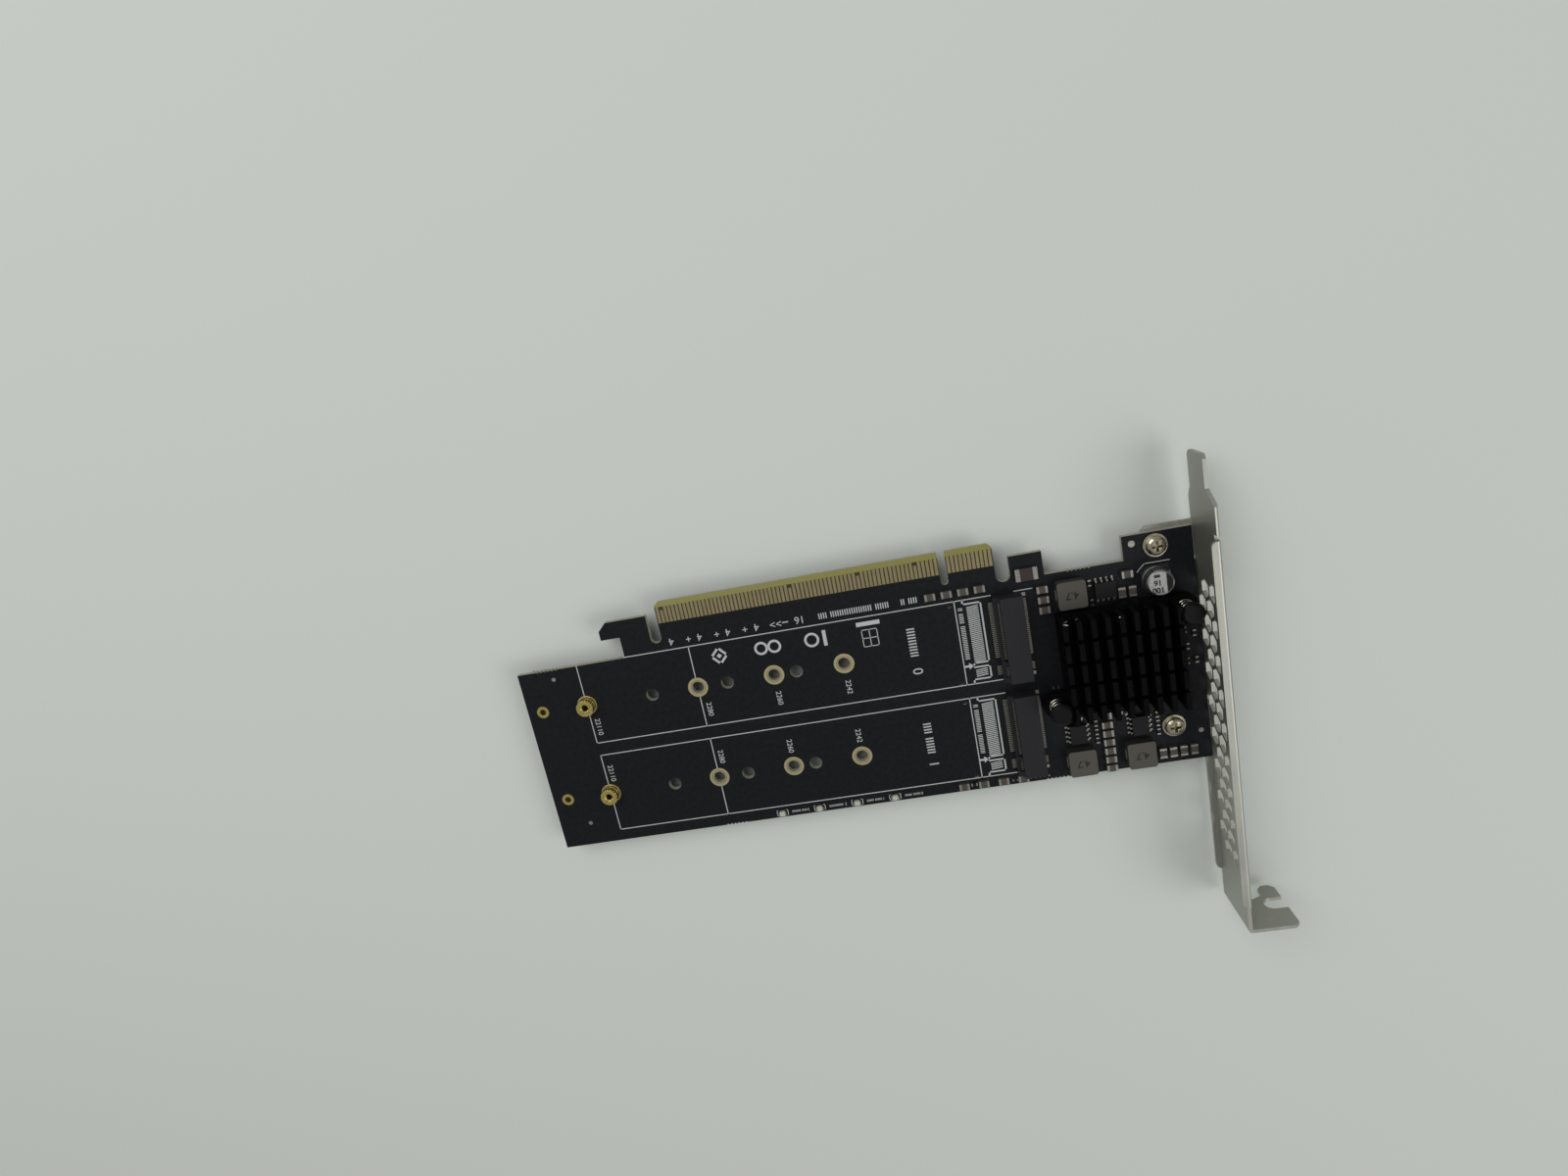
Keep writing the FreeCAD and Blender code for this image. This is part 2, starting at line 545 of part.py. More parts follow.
def circuit_board():
    """Routed board: contact tongue, key, retention hook and all its holes."""
    body = new_body("circuit_board")
    outline = new_sketch(body, "XY", "-board_thick")
    polygon(outline, [
        ("-" + BOARD_LEFT, "-" + BOARD_DEPTH),
        (BOARD_RIGHT, "-" + BOARD_DEPTH),
        (BOARD_RIGHT, "-right_shoulder"),
        (RECESS_RIGHT, "-right_shoulder"),
        (RECESS_RIGHT, "-recess_drop"),
        (RECESS_LEFT, "-recess_drop"),
        (RECESS_LEFT, "-right_shoulder"),
        (TONGUE_RIGHT, "-right_shoulder"),
        (TONGUE_RIGHT, "-tongue_corner"),
        (TONGUE_RIGHT + " - tongue_corner", "0"),
        ("tongue_corner - " + TONGUE_LEFT, "0"),
        ("-" + TONGUE_LEFT, "-tongue_corner"),
        ("-" + TONGUE_LEFT, "-hook_top"),
        ("hook_chamfer - " + HOOK_LEFT, "-hook_top"),
        ("-" + HOOK_LEFT, "-hook_top - hook_chamfer"),
        ("-" + HOOK_LEFT, "-hook_throat"),
        ("-" + HOOK_NECK, "-hook_throat"),
        ("-" + HOOK_NECK, "-left_shoulder"),
        ("-" + BOARD_LEFT, "-left_shoulder"),
    ])
    pad(body, outline, "board_thick")

    slots = new_sketch(body, "XY")
    round_slot(slots, "0", "key_width", "1", "key_depth")
    end_middle = TONGUE_RIGHT + " + end_slot_width / 2"
    round_slot(slots, end_middle, "end_slot_width", "1", "end_slot_depth")
    hook_middle = "-%s - hook_slot_width / 2" % TONGUE_LEFT
    round_slot(slots, hook_middle, "hook_slot_width", "1", "hook_slot_depth")
    pocket(body, slots)

    bevel = new_sketch(body, "YZ")
    polygon(bevel, [("-bevel_run", "0"), ("1", "0"), ("1", "-bevel_fall"), ("0", "-bevel_fall")])
    low = "bevel_fall - board_thick"
    base = "-board_thick"
    polygon(bevel, [("-bevel_run", base), ("0", low), ("1", low), ("1", base)])
    pocket(body, bevel, both=True)

    holes = new_sketch(body, "XY")
    for y in BAYS:
        for x in module_places("front_stop"):
            circle(holes, x, y, "front_hole")
        for x in module_places("back_stop"):
            circle(holes, x, y, "back_hole")
        for stop in ("front_stop", "back_stop"):
            for side in ("+", "-"):
                peg_y = "%s %s %s" % (y, side, PEG_SPAN)
                circle(holes, stop + " - peg_setback", peg_y, "peg_diameter + peg_clearance")
    for y in SCREW_ROWS:
        circle(holes, SCREW_X, y, "screw_shank + screw_play")
    for x, y in pin_places():
        circle(holes, x, y, PIN_HOLE)
    pocket(body, holes)

    corners = [
        ("-" + BOARD_LEFT, "-left_shoulder", "-"),
        ("-" + TONGUE_LEFT, "-" + BOARD_DEPTH, "+"),
        (TONGUE_RIGHT, "-" + BOARD_DEPTH, "+"),
        (RECESS_LEFT, "-recess_drop", "-"),
    ]
    for x, y, inward in corners:
        first = x + " + nick_inset"
        floor = "%s %s nick_deep" % (y, inward)
        nick = new_sketch(body, "XY")
        polygon(nick, [
            (first + " - nick_wide / 2", y),
            (first + " + nick_wide / 2", y),
            (first + " + nick_wide / 4", floor),
            (first + " - nick_wide / 4", floor),
        ])
        bite = pocket(body, nick)
        pattern(body, [bite], "X", "nick_pitch", "nick_count")
    return body


def edge_contacts(label, level, shortened):
    """Plated contacts of one face of the tongue, in two runs about the key."""
    body = new_body(label)
    half = "contact_width / 2"
    right = new_sketch(body, "XY", level)
    rectangle(right, "contact_first - " + half, "contact_first + " + half, "-contact_end", "-bevel_run")
    first = pad(body, right, "copper_thick")
    pattern(body, [first], "X", "contact_pitch", "contacts_right")
    left = new_sketch(body, "XY", level)
    rectangle(left, "-contact_first - " + half, half + " - contact_first", "-contact_end", "-bevel_run")
    second = pad(body, left, "copper_thick")
    pattern(body, [second], "X", "contact_pitch", "contacts_left", reverse=True)
    cut = new_sketch(body, "XY", level)
    for middle in shortened:
        low = "-bevel_run - short_contact_cut"
        rectangle(cut, "%s - %s" % (middle, half), "%s + %s" % (middle, half), low, "-bevel_run")
    pocket(body, cut, "copper_thick", reverse=True)
    return body


# ---------------------------------------------------------- module sockets

SOCKETS = [
    ("front_socket_1", "front_stop", BAYS[0], False),
    ("front_socket_2", "front_stop", BAYS[1], False),
    ("back_socket_1", "back_stop", BAYS[0], True),
    ("back_socket_2", "back_stop", BAYS[1], True),
]


def seat(thing, x, y, on_back):
    """Seat a piece that is drawn on the front face, or turn it to the back."""
    if on_back:
        turn = FreeCAD.Rotation(FreeCAD.Vector(1, 0, 0), 180)
        thing.Placement = FreeCAD.Placement(FreeCAD.Vector(0, 0, 0), turn)
    place(thing, x, y, "-board_thick" if on_back else "0")


def socket_housing(label):
    """Moulded housing: lip, slotted body with roof, cheeks, key rib, pegs."""
    body = new_body(label)
    blade_end = "(blade_start + blade_deep)"
    core = new_sketch(body, "XZ", "cheek_wide - %s / 2" % SOCKET_LONG)
    polygon(core, [
        ("-blade_start", "0"),
        ("blade_start", "0"),
        ("blade_start", ROOF_UNDER),
        (blade_end, ROOF_UNDER),
        (blade_end, "pin_thick"),
        (SOCKET_BACK, "pin_thick"),
        (SOCKET_BACK, SOCKET_TALL),
        ("-roof_front", SOCKET_TALL),
        ("-roof_front", ROOF_UNDER),
        ("0", ROOF_UNDER),
        ("0", "slot_floor"),
        ("-blade_start", "slot_floor"),
    ])
    rectangle(core, "-" + LIP_FRONT, "-" + blade_end, "pin_thick", LIP_TALL)
    pad(body, core, SOCKET_LONG + " - 2 * cheek_wide")
    cheek_outline = [
        ("-" + LIP_FRONT, "0"),
        (SOCKET_BACK, "0"),
        (SOCKET_BACK, SOCKET_TALL),
        ("-roof_front", SOCKET_TALL),
        ("-roof_front", ROOF_UNDER),
        ("-" + LIP_FRONT, LIP_TALL),
    ]
    for level in (SOCKET_LONG + " / 2 - cheek_wide", "-%s / 2" % SOCKET_LONG):
        cheek = new_sketch(body, "XZ", level)
        polygon(cheek, cheek_outline)
        pad(body, cheek, "cheek_wide")
    rib = new_sketch(body, "XZ", "%s - %s / 2" % (KEY_RIB, KEY_RIB_WIDE))
    polygon(rib, cheek_outline[:1] + [("0", "0"), ("0", SOCKET_TALL)] + cheek_outline[3:])
    pad(body, rib, KEY_RIB_WIDE)
    pegs = new_sketch(body, "XY")
    circle(pegs, "-peg_setback", PEG_SPAN, "peg_diameter")
    circle(pegs, "-peg_setback", "-" + PEG_SPAN, "peg_diameter")
    pad(body, pegs, "peg_long", reverse=True)
    return body


def socket_contacts(label, outline, start, after_key):
    """One row of stamped contacts, with the gap that the key leaves."""
    body = new_body(label)
    runs = [(start, PINS_BEFORE_KEY), ("%s - %s" % (start, KEY_GAP), after_key)]
    for middle, count in runs:
        profile = new_sketch(body, "XZ", "-(%s) - pin_wide / 2" % middle)
        polygon(profile, outline)
        blade = pad(body, profile, "pin_wide")
        pattern(body, [blade], "Y", "pin_pitch", count, reverse=True)
    return body


def lower_contacts(label):
    tail = "-%s - tail_reach" % LIP_FRONT
    rise = "slot_floor + pin_proud"
    outline = [
        (tail, "0"),
        ("-blade_start", "0"),
        ("-blade_start", rise),
        ("-blade_start - blade_deep", rise),
        ("-blade_start - blade_deep", "pin_thick"),
        (tail, "pin_thick"),
    ]
    return socket_contacts(label, outline, FIRST_PIN, LOWER_PINS_AFTER_KEY)


def upper_contacts(label):
    tail = SOCKET_BACK + " + tail_reach"
    outline = [
        ("blade_start", "0"),
        (tail, "0"),
        (tail, "pin_thick"),
        ("blade_start + blade_deep", "pin_thick"),
        ("blade_start + blade_deep", ROOF_UNDER),
        ("blade_start", ROOF_UNDER),
    ]
    return socket_contacts(label, outline, FIRST_PIN + " - pin_pitch / 2", UPPER_PINS_AFTER_KEY)


def socket_anchors(label):
    """Two bent solder anchors on the back wall of a socket."""
    body = new_body(label)
    for sign in ("-", ""):
        profile = new_sketch(body, "XZ", "%s%s - anchor_wide / 2" % (sign, PEG_SPAN))
        polygon(profile, [
            (SOCKET_BACK, "0"),
            (SOCKET_BACK + " + tail_reach", "0"),
            (SOCKET_BACK + " + tail_reach", "anchor_thick"),
            (SOCKET_BACK + " + anchor_thick", "anchor_thick"),
            (SOCKET_BACK + " + anchor_thick", "anchor_tall"),
            (SOCKET_BACK, "anchor_tall"),
        ])
        pad(body, profile, "anchor_wide")
    return body


def module_sockets():
    made = []
    for label, x, y, on_back in SOCKETS:
        pieces = [
            socket_housing(label + "_housing"),
            lower_contacts(label + "_lower_contacts"),
            upper_contacts(label + "_upper_contacts"),
            socket_anchors(label + "_anchors"),
        ]
        for piece in pieces:
            seat(piece, x, y, on_back)
        made += pieces
    return made


def standoffs(label, stop, hole, on_back):
    """Turned brass standoffs pressed into the board for long modules."""
    pieces = []
    bore = "standoff_bore / 2"
    shank = "(%s - shank_clearance) / 2" % hole
    for row, drop in enumerate(BAYS, start=1):
        body = new_body("%s_%d" % (label, row))
        revolve(body, [
            (bore, "-board_thick"),
            (shank, "-board_thick"),
            (shank, "0"),
            ("standoff_head / 2", "0"),
            ("standoff_head / 2", "standoff_tall"),
            (bore + " + standoff_chamfer", "standoff_tall"),
            (bore, "standoff_tall - standoff_chamfer"),
        ])
        seat(body, stop + " - module_4", drop, on_back)
        pieces.append(body)
    return gather(label, pieces)


# ---------------------------------------------------------- slot bracket

def bracket_face(body):
    """Flat sheet of the bracket: tongue, lip sides, tab roots and foot."""
    blade_back = "(blade_offset - bracket_back)"
    blade_front = "(%s + blade_wide)" % blade_back
    bend = " + bend_round"
    face = new_sketch(body, "YZ", BRACKET_X + " - bracket_thick")
    outline = [
        ("bracket_tip", blade_back + " + blade_corner"),
        ("bracket_tip", blade_front + " - blade_corner"),
        ("bracket_tip - blade_corner", blade_front),
        ("taper_front", blade_front),
        ("taper_end", BRACKET_FRONT),
        ("relief_gap - lip_start", BRACKET_FRONT),
        ("relief_gap - lip_start", BRACKET_FRONT + " - bracket_thick - bend_round"),
        ("-lip_start", BRACKET_FRONT + " - bracket_thick - bend_round"),
        ("-lip_start", BRACKET_FRONT),
        ("-" + LIP_END, BRACKET_FRONT),
        ("-" + LIP_END, BRACKET_FRONT + " - foot_inset_front"),
        (BRACKET_FOOT, BRACKET_FRONT + " - foot_inset_front"),
        (BRACKET_FOOT, "foot_inset_back - bracket_back"),
        ("-" + LIP_END, "foot_inset_back - bracket_back"),
        ("-" + LIP_END, "-bracket_back"),
        (SCREW_ROWS[1] + " - tab_below - relief_gap", "-bracket_back"),
        (SCREW_ROWS[1] + " - tab_below - relief_gap", TAB_FACE + bend),
        (SCREW_ROWS[1] + " - tab_below", TAB_FACE + bend),
        (SCREW_ROWS[1] + " - tab_below", TAB_FACE),
        (SCREW_ROWS[1] + " + tab_above", TAB_FACE),
        (SCREW_ROWS[1] + " + tab_above", TAB_FACE + bend),
        (SCREW_ROWS[1] + " + tab_above + relief_gap", TAB_FACE + bend),
        (SCREW_ROWS[1] + " + tab_above + relief_gap", "-bracket_back"),
        (SCREW_ROWS[0] + " - tab_below - relief_gap", "-bracket_back"),
        (SCREW_ROWS[0] + " - tab_below - relief_gap", TAB_FACE + bend),
        (SCREW_ROWS[0] + " - tab_below", TAB_FACE + bend),
        (SCREW_ROWS[0] + " - tab_below", TAB_FACE),
        ("taper_end", TAB_FACE),
        ("taper_back", blade_back),
        ("bracket_tip - blade_corner", blade_back),
    ]
    polygon(face, outline)
    pad(body, face, "bracket_thick")


def bracket_lips(body):
    """Stiffening lips folded inwards, with rounded free corners."""
    edge = BRACKET_X + " - lip_wide"
    runs = [
        (BRACKET_FRONT + " - bracket_thick", "-lip_start", "-" + LIP_END),
        ("-bracket_back", SCREW_ROWS[0] + " - tab_below - relief_gap",
         SCREW_ROWS[1] + " + tab_above + relief_gap"),
        ("-bracket_back", SCREW_ROWS[1] + " - tab_below - relief_gap", "-" + LIP_END),
    ]
    for level, top, end in runs:
        lip = new_sketch(body, "XY", level)
        rectangle(lip, edge, BRACKET_X, end, top)
        folded = pad(body, lip, "bracket_thick")
        DOCUMENT.recompute()
        spots = [(number(edge), number(y)) for y in (top, end)]
        corners = upright_edges(folded, spots, number("bracket_thick") / 2)
        fillet(body, folded, corners, "lip_round")


def bracket_flange(body):
    """Mounting flange folded outwards at the foot, open screw slot, ear."""
    tip = BRACKET_X + " + flange_deep"
    ear = tip + " - flange_ear"
    neck = "flange_neck - bracket_back"
    slot_middle = "screw_slot_z - bracket_back"
    slot_end = tip + " - screw_slot_deep + screw_slot_wide / 2"
    far = BRACKET_FRONT + " - foot_inset_front"
    flange = new_sketch(body, "XZ", "-%s - bracket_thick" % BRACKET_FOOT)
    polygon(flange, [
        (BRACKET_X + " - bracket_thick", far),
        (BRACKET_X + " - bracket_thick", neck),
        (ear + " - flange_round * 2", neck),
        (ear, neck + " - flange_round"),
        (ear, "flange_round - bracket_back"),
        (ear + " + flange_round", "-bracket_back"),
        (tip + " - flange_round", "-bracket_back"),
        (tip, "flange_round - bracket_back"),
        (tip, slot_middle + " - screw_slot_wide / 2"),
        (slot_end, slot_middle + " - screw_slot_wide / 2"),
        (slot_end, slot_middle + " + screw_slot_wide / 2"),
        (tip, slot_middle + " + screw_slot_wide / 2"),
        (tip, far + " - flange_round"),
        (tip + " - flange_round", far),
    ])
    pad(body, flange, "bracket_thick")
    slot_round = new_sketch(body, "XZ", "-%s - bracket_thick" % BRACKET_FOOT)
    circle(slot_round, slot_end, slot_middle, "screw_slot_wide")
    pocket(body, slot_round, "bracket_thick", reverse=True)


def bracket_tabs(body):
    """Tabs under the board, each with a tapped collar for its screw."""
    end = SCREW_X + " - tab_reach"
    tab = new_sketch(body, "XY", TAB_FACE)
    for middle in SCREW_ROWS:
        polygon(tab, [
            (BRACKET_X, middle + " - tab_below"),
            (BRACKET_X, middle + " + tab_above"),
            (end + " + tab_corner", middle + " + tab_above"),
            (end, middle + " + tab_above - tab_corner"),
            (end, middle + " - tab_below + tab_corner"),
            (end + " + tab_corner", middle + " - tab_below"),
        ])
    pad(body, tab, "bracket_thick")
    collar = new_sketch(body, "XY", TAB_FACE + " - collar_tall")
    for middle in SCREW_ROWS:
        circle(collar, SCREW_X, middle, "collar_outer")
    pad(body, collar, "collar_tall")
    tapped = new_sketch(body, "XY", TAB_FACE + " - collar_tall")
    for middle in SCREW_ROWS:
        circle(tapped, SCREW_X, middle, "screw_shank")
    pocket(body, tapped, "collar_tall + bracket_thick", reverse=True)


def bracket_vents(body):
    """Staggered rows of hexagonal vents, as many as the length holds."""
    centre = "bracket_wide / 2 - bracket_back - vent_shift"
    room = LIP_END + " - vent_margin - vent_first"
    fields = [
        ("-vent_first", "vent_pitch / 4", room),
        ("-vent_first - vent_row", "-vent_pitch / 4", room + " - vent_row"),
    ]
    for top, offset, left in fields:
        holes = new_sketch(body, "YZ", BRACKET_X + " - bracket_thick")
        for side in ("+", "-"):
            middle = "%s + %s %s vent_pitch / 2" % (centre, offset, side)
            hexagon(holes, top, middle, "vent_flats")
        cut = pocket(body, holes, "bracket_thick", reverse=True)
        count = "floor((%s) / (vent_row * 2)) + 1" % left
        last = pattern(body, [cut], "Y", "vent_row * 2", count, reverse=True)
    return last


def bracket():
    """Folded steel bracket: tongue, lips, vents, flange and board tabs."""
    body = new_body("bracket")
    bracket_face(body)
    bracket_lips(body)
    bracket_flange(body)
    bracket_tabs(body)
    last = bracket_vents(body)
    DOCUMENT.recompute()
    outer = number(BRACKET_X)
    folds = long_edges(last, "X", "Z", [
        (outer, number(BRACKET_FRONT)),
        (outer, number("-bracket_back")),
        (outer, number(TAB_FACE)),
    ])
    inner = number(BRACKET_X + " - bracket_thick")
    folds += long_edges(last, "X", "Y", [(inner, number(BRACKET_FOOT))])
    fillet(body, last, folds, "bend_round")
    return body


def bracket_screws():
    """Washer-faced pan-head screws through the board into the tapped tabs."""
    pieces = []
    shank = "screw_shank / 2"
    for row, drop in enumerate(SCREW_ROWS, start=1):
        body = new_body("bracket_screw_%d" % row)
        revolve(body, [
            ("0", "-screw_long"),
            (shank + " - screw_point", "-screw_long"),
            (shank, "screw_point - screw_long"),
            (shank, "0"),
            ("screw_washer / 2", "0"),
            ("screw_washer / 2", "washer_thick"),
            ("screw_head / 2", "washer_thick"),
            ("screw_head / 2", "washer_thick + head_tall * 0.4"),
            ("screw_head / 3", "washer_thick + head_tall"),
            ("0", "washer_thick + head_tall"),
        ])
        place(body, SCREW_X, drop)
        pieces.append(body)
    return gather("bracket_screws", pieces)


# ---------------------------------------------------------- heatsink

def pin_places():
    """The push pins stand off two opposite corners of the heatsink."""
    return [
        ("%s - %s" % (SINK_X, EAR_X), "-sink_drop - " + EAR_Y),
        ("%s + %s" % (SINK_X, EAR_X), "-sink_drop + " + EAR_Y),
    ]


def heatsink():
    """Extruded and cross-cut fin block with an ear for each push pin."""
    body = new_body("heatsink")
    ears = [("-" + EAR_X, "-" + EAR_Y), (EAR_X, EAR_Y)]
    ear_half = "(%s / 2 + ear_wall)" % PIN_HOLE
    base = new_sketch(body, "XY", SINK_LOW)
    rectangle(base, "-sink_long / 2", "sink_long / 2", "-sink_deep / 2", "sink_deep / 2")
    pad(body, base, "sink_base")
    rounds = new_sketch(body, "XY", SINK_LOW)
    for x, y in ears:
        circle(rounds, x, y, "2 * " + ear_half)
    pad(body, rounds, "sink_base")
    arms = new_sketch(body, "XY", SINK_LOW)
    for x, y in ears:
        root = "0" if x == EAR_X else "-sink_long / 4"
        rectangle(arms, root, x, "%s - %s" % (y, ear_half), "%s + %s" % (y, ear_half))
    pad(body, arms, "sink_base")
    bores = new_sketch(body, "XY", SINK_LOW)
    for x, y in ears:
        circle(bores, x, y, PIN_HOLE)
    pocket(body, bores, "sink_base", reverse=True)

    fin = new_sketch(body, "XY", PIN_SEAT)
    rectangle(fin, "-sink_long / 2", "fin_thick - sink_long / 2", "-sink_deep / 2", "sink_deep / 2")
    blade = pad(body, fin, "fin_tall")
    pattern(body, [blade], "X", "(sink_long - fin_thick) / (fin_count - 1)", "fin_count")
    cut = new_sketch(body, "YZ")
    pitch = "(sink_deep + cross_wide) / (cross_cuts + 1)"
    first = "%s - sink_deep / 2 - cross_wide" % pitch
    rectangle(cut, first, first + " + cross_wide", PIN_SEAT, PIN_SEAT + " + fin_tall")
    saw = pocket(body, cut, both=True)
    pattern(body, [saw], "Y", pitch, "cross_cuts")
    rooms = new_sketch(body, "XY", PIN_SEAT)
    for x, y in ears:
        circle(rooms, x, y, "pin_head + 2 * pin_head_room")
    pocket(body, rooms, "fin_tall", reverse=True)
    place(body, SINK_X, "-sink_drop")
    return body


def push_pins():
    """Moulded push pins: head, shaft and the barb that grips the board."""
    pieces = []
    shaft = "pin_shaft / 2"
    barb = shaft + " + barb_proud"
    top = PIN_UNDER_HEAD + " + pin_head_tall"
    for row, (x, y) in enumerate(pin_places(), start=1):
        body = new_body("push_pin_%d" % row)
        revolve(body, [
            ("0", "-board_thick - pin_tip"),
            (shaft + " / 2", "-board_thick - pin_tip"),
            (barb, "-board_thick - barb_tall"),
            (barb, "-board_thick"),
            (shaft, "-board_thick"),
            (shaft, PIN_UNDER_HEAD),
            ("pin_head / 2", PIN_UNDER_HEAD),
            ("pin_head / 2", PIN_UNDER_HEAD + " + pin_head_tall / 2"),
            ("pin_head / 2 - pin_head_tall / 2", top),
            ("0", top),
        ])
        place(body, x, y)
        pieces.append(body)
    return gather("push_pins", pieces)


def push_pin_springs():
    """Coil springs between the heatsink ears and the push pin heads."""
    pieces = []
    near = "pin_shaft / 2 + spring_play"
    for row, (x, y) in enumerate(pin_places(), start=1):
        body = new_body("push_pin_spring_%d" % row)
        wire = new_sketch(body, "XZ")
        rectangle(wire, near, near + " + spring_wire", PIN_SEAT, PIN_SEAT + " + spring_wire")
        coil = body.newObject("PartDesign::AdditiveHelix", body.Name + "_coil")
        coil.Profile = wire
        coil.ReferenceAxis = (wire, ["V_Axis"])
        coil.Mode = "height-turns-angle"
        bind(coil, "Height", "spring_long - spring_wire")
        bind(coil, "Turns", "spring_turns")
        coil.Reversed = False
        place(body, x, y)
        pieces.append(body)
    return gather("push_pin_springs", pieces)


def chip_under_sink():
    half = "chip_side / 2"
    chip = new_body("switch_chip")
    base = new_sketch(chip, "XY")
    rectangle(base, "-" + half, half, "-" + half, half)
    pad(chip, base, "chip_tall")
    place(chip, SINK_X, "-sink_drop")
    layer = new_body("thermal_pad")
    film = new_sketch(layer, "XY", "chip_tall")
    rectangle(film, "-" + half, half, "-" + half, half)
    pad(layer, film, "pad_thick")
    place(layer, SINK_X, "-sink_drop")
    return [chip, layer]


# ---------------------------------------------------------- power stage

def from_sink(spots, side="-sink_drop"):
    """Places given from the heatsink's middle and from one of its sides."""
    return [("%s + (%s)" % (SINK_X, spot[0]), "%s + (%s)" % (side, spot[1])) for spot in spots]


def inductors():
    """Moulded inductors with a folded terminal at each end."""
    made = []
    terminals = []
    half = "coil_side / 2"
    outer = half + " + coil_lead_thick"
    tuck = half + " - coil_lead_tuck"
    spots = from_sink(UPPER_INDUCTORS, SINK_UPPER) + from_sink(LOWER_INDUCTORS, SINK_LOWER)
    for row, (x, y) in enumerate(spots, start=1):
        body = new_body("inductor_%d" % row)
        base = new_sketch(body, "XY", "coil_lead_thick")
        rectangle(base, "-" + half, half, "-" + half, half)
        block = pad(body, base, "coil_tall - coil_lead_thick")
        DOCUMENT.recompute()
        side = number(half)
        corners = [(a * side, b * side) for a in (-1, 1) for b in (-1, 1)]
        names = upright_edges(block, corners, number("coil_tall") / 2)
        fillet(body, block, names, "coil_round")
        place(body, x, y)
        made.append(body)
        ends = new_body("inductor_terminal_%d" % row)
        profile = new_sketch(ends, "XZ", "-coil_lead_wide / 2")
        for sign in ("", "-"):
            polygon(profile, [
                ("%s(%s)" % (sign, tuck), "0"),
                ("%s(%s)" % (sign, outer), "0"),
                ("%s(%s)" % (sign, outer), "coil_lead_tall"),
                ("%s(%s)" % (sign, half), "coil_lead_tall"),
                ("%s(%s)" % (sign, half), "coil_lead_thick"),
                ("%s(%s)" % (sign, tuck), "coil_lead_thick"),
            ])
        pad(ends, profile, "coil_lead_wide")
        place(ends, x, y)
        terminals.append(ends)
    return made + [gather("inductor_terminals", terminals)]


def electrolytic():
    """Aluminium can on a square plastic base with two cut corners."""
    x, y = from_sink([ELECTROLYTIC], SINK_UPPER)[0]
    base = new_body("capacitor_base")
    half = "(can_diameter / 2 + can_border)"
    outline = new_sketch(base, "XY")
    polygon(outline, [
        ("-" + half, "can_base_corner - " + half),
        ("can_base_corner - " + half, "-" + half),
        (half, "-" + half),
        (half, half),
        ("can_base_corner - " + half, half),
        ("-" + half, half + " - can_base_corner"),
    ])
    pad(base, outline, "can_base_tall")
    place(base, x, y)
    can = new_body("capacitor_can")
    wall = "can_diameter / 2"
    groove = "can_base_tall + can_groove_rise"
    revolve(can, [
        ("0", "can_base_tall"),
        (wall, "can_base_tall"),
        (wall, groove),
        (wall + " - can_groove", groove + " + can_groove_wide / 2"),
        (wall, groove + " + can_groove_wide"),
        (wall, "can_tall - can_shoulder"),
        (wall + " - can_shoulder", "can_tall"),
        ("0", "can_tall"),
    ])
    place(can, x, y)
    return [base, can]


def driver_chips():
    """Small power chips with gull-wing leads on two sides."""
    made = []
    chips = [(UPPER_DRIVERS, SINK_UPPER), (LOWER_DRIVERS, SINK_LOWER)]
    spots = [(place_, angle) for group, side in chips
             for place_, angle in zip(from_sink(group, side), [spot[2] for spot in group])]
    wall = "driver_wide / 2"
    shelf = wall + " + lead_shelf"
    toe = wall + " + lead_reach"
    long_half = DRIVER_LONG + " / 2"
    for row, ((x, y), angle) in enumerate(spots, start=1):
        turn = FreeCAD.Placement(FreeCAD.Vector(), FreeCAD.Rotation(angle, 0, 0))
        body = new_body("driver_chip_%d" % row)
        base = new_sketch(body, "XY", "lead_thick / 2")
        rectangle(base, "-" + wall, wall, "-" + long_half, long_half)
        pad(body, base, "driver_tall - lead_thick / 2")
        leads = new_body("driver_chip_%d_leads" % row)
        for sign in ("", "-"):
            level = "-lead_pitch * (lead_count - 1) / 2 - lead_wide / 2"
            profile = new_sketch(leads, "XZ", level)
            polygon(profile, [
                ("%s(%s)" % (sign, wall), "lead_shoulder - lead_thick"),
                ("%s(%s - lead_thick)" % (sign, shelf), "lead_shoulder - lead_thick"),
                ("%s(%s - lead_thick)" % (sign, shelf), "0"),
                ("%s(%s)" % (sign, toe), "0"),
                ("%s(%s)" % (sign, toe), "lead_thick"),
                ("%s(%s)" % (sign, shelf), "lead_thick"),
                ("%s(%s)" % (sign, shelf), "lead_shoulder"),
                ("%s(%s)" % (sign, wall), "lead_shoulder"),
            ])
            foot = pad(leads, profile, "lead_wide")
            pattern(leads, [foot], "Y", "lead_pitch", "lead_count", reverse=True)
        for piece in (body, leads):
            piece.Placement = turn
            place(piece, x, y)
            made.append(piece)
    return made


# ---------------------------------------------------------- small parts

def two_ended(label, spots, size, across=False):
    """Blocks with a metal cap at each end, one at each of the places."""
    long, wide, tall, end = size
    middles, ends = [], []
    for row, (x, y) in enumerate(spots, start=1):
        name = "%s_%d" % (label, row)
        low_x = "%s - %s / 2" % (x, wide if across else long)
        low_y = "%s - %s / 2" % (y, long if across else wide)
        span = "%s - 2 * %s" % (long, end)
        far = "%s - %s" % (long, end)
        if across:
            middles.append(box(name, (wide, span, tall), (low_x, "%s + %s" % (low_y, end))))
            for start in (low_y, "%s + %s" % (low_y, far)):
                ends.append(box(name + "_end", (wide, end, tall), (low_x, start)))
        else:
            middles.append(box(name, (span, wide, tall), ("%s + %s" % (low_x, end), low_y)))
            for start in (low_x, "%s + %s" % (low_x, far)):
                ends.append(box(name + "_end", (end, wide, tall), (start, low_y)))
    return middles, ends


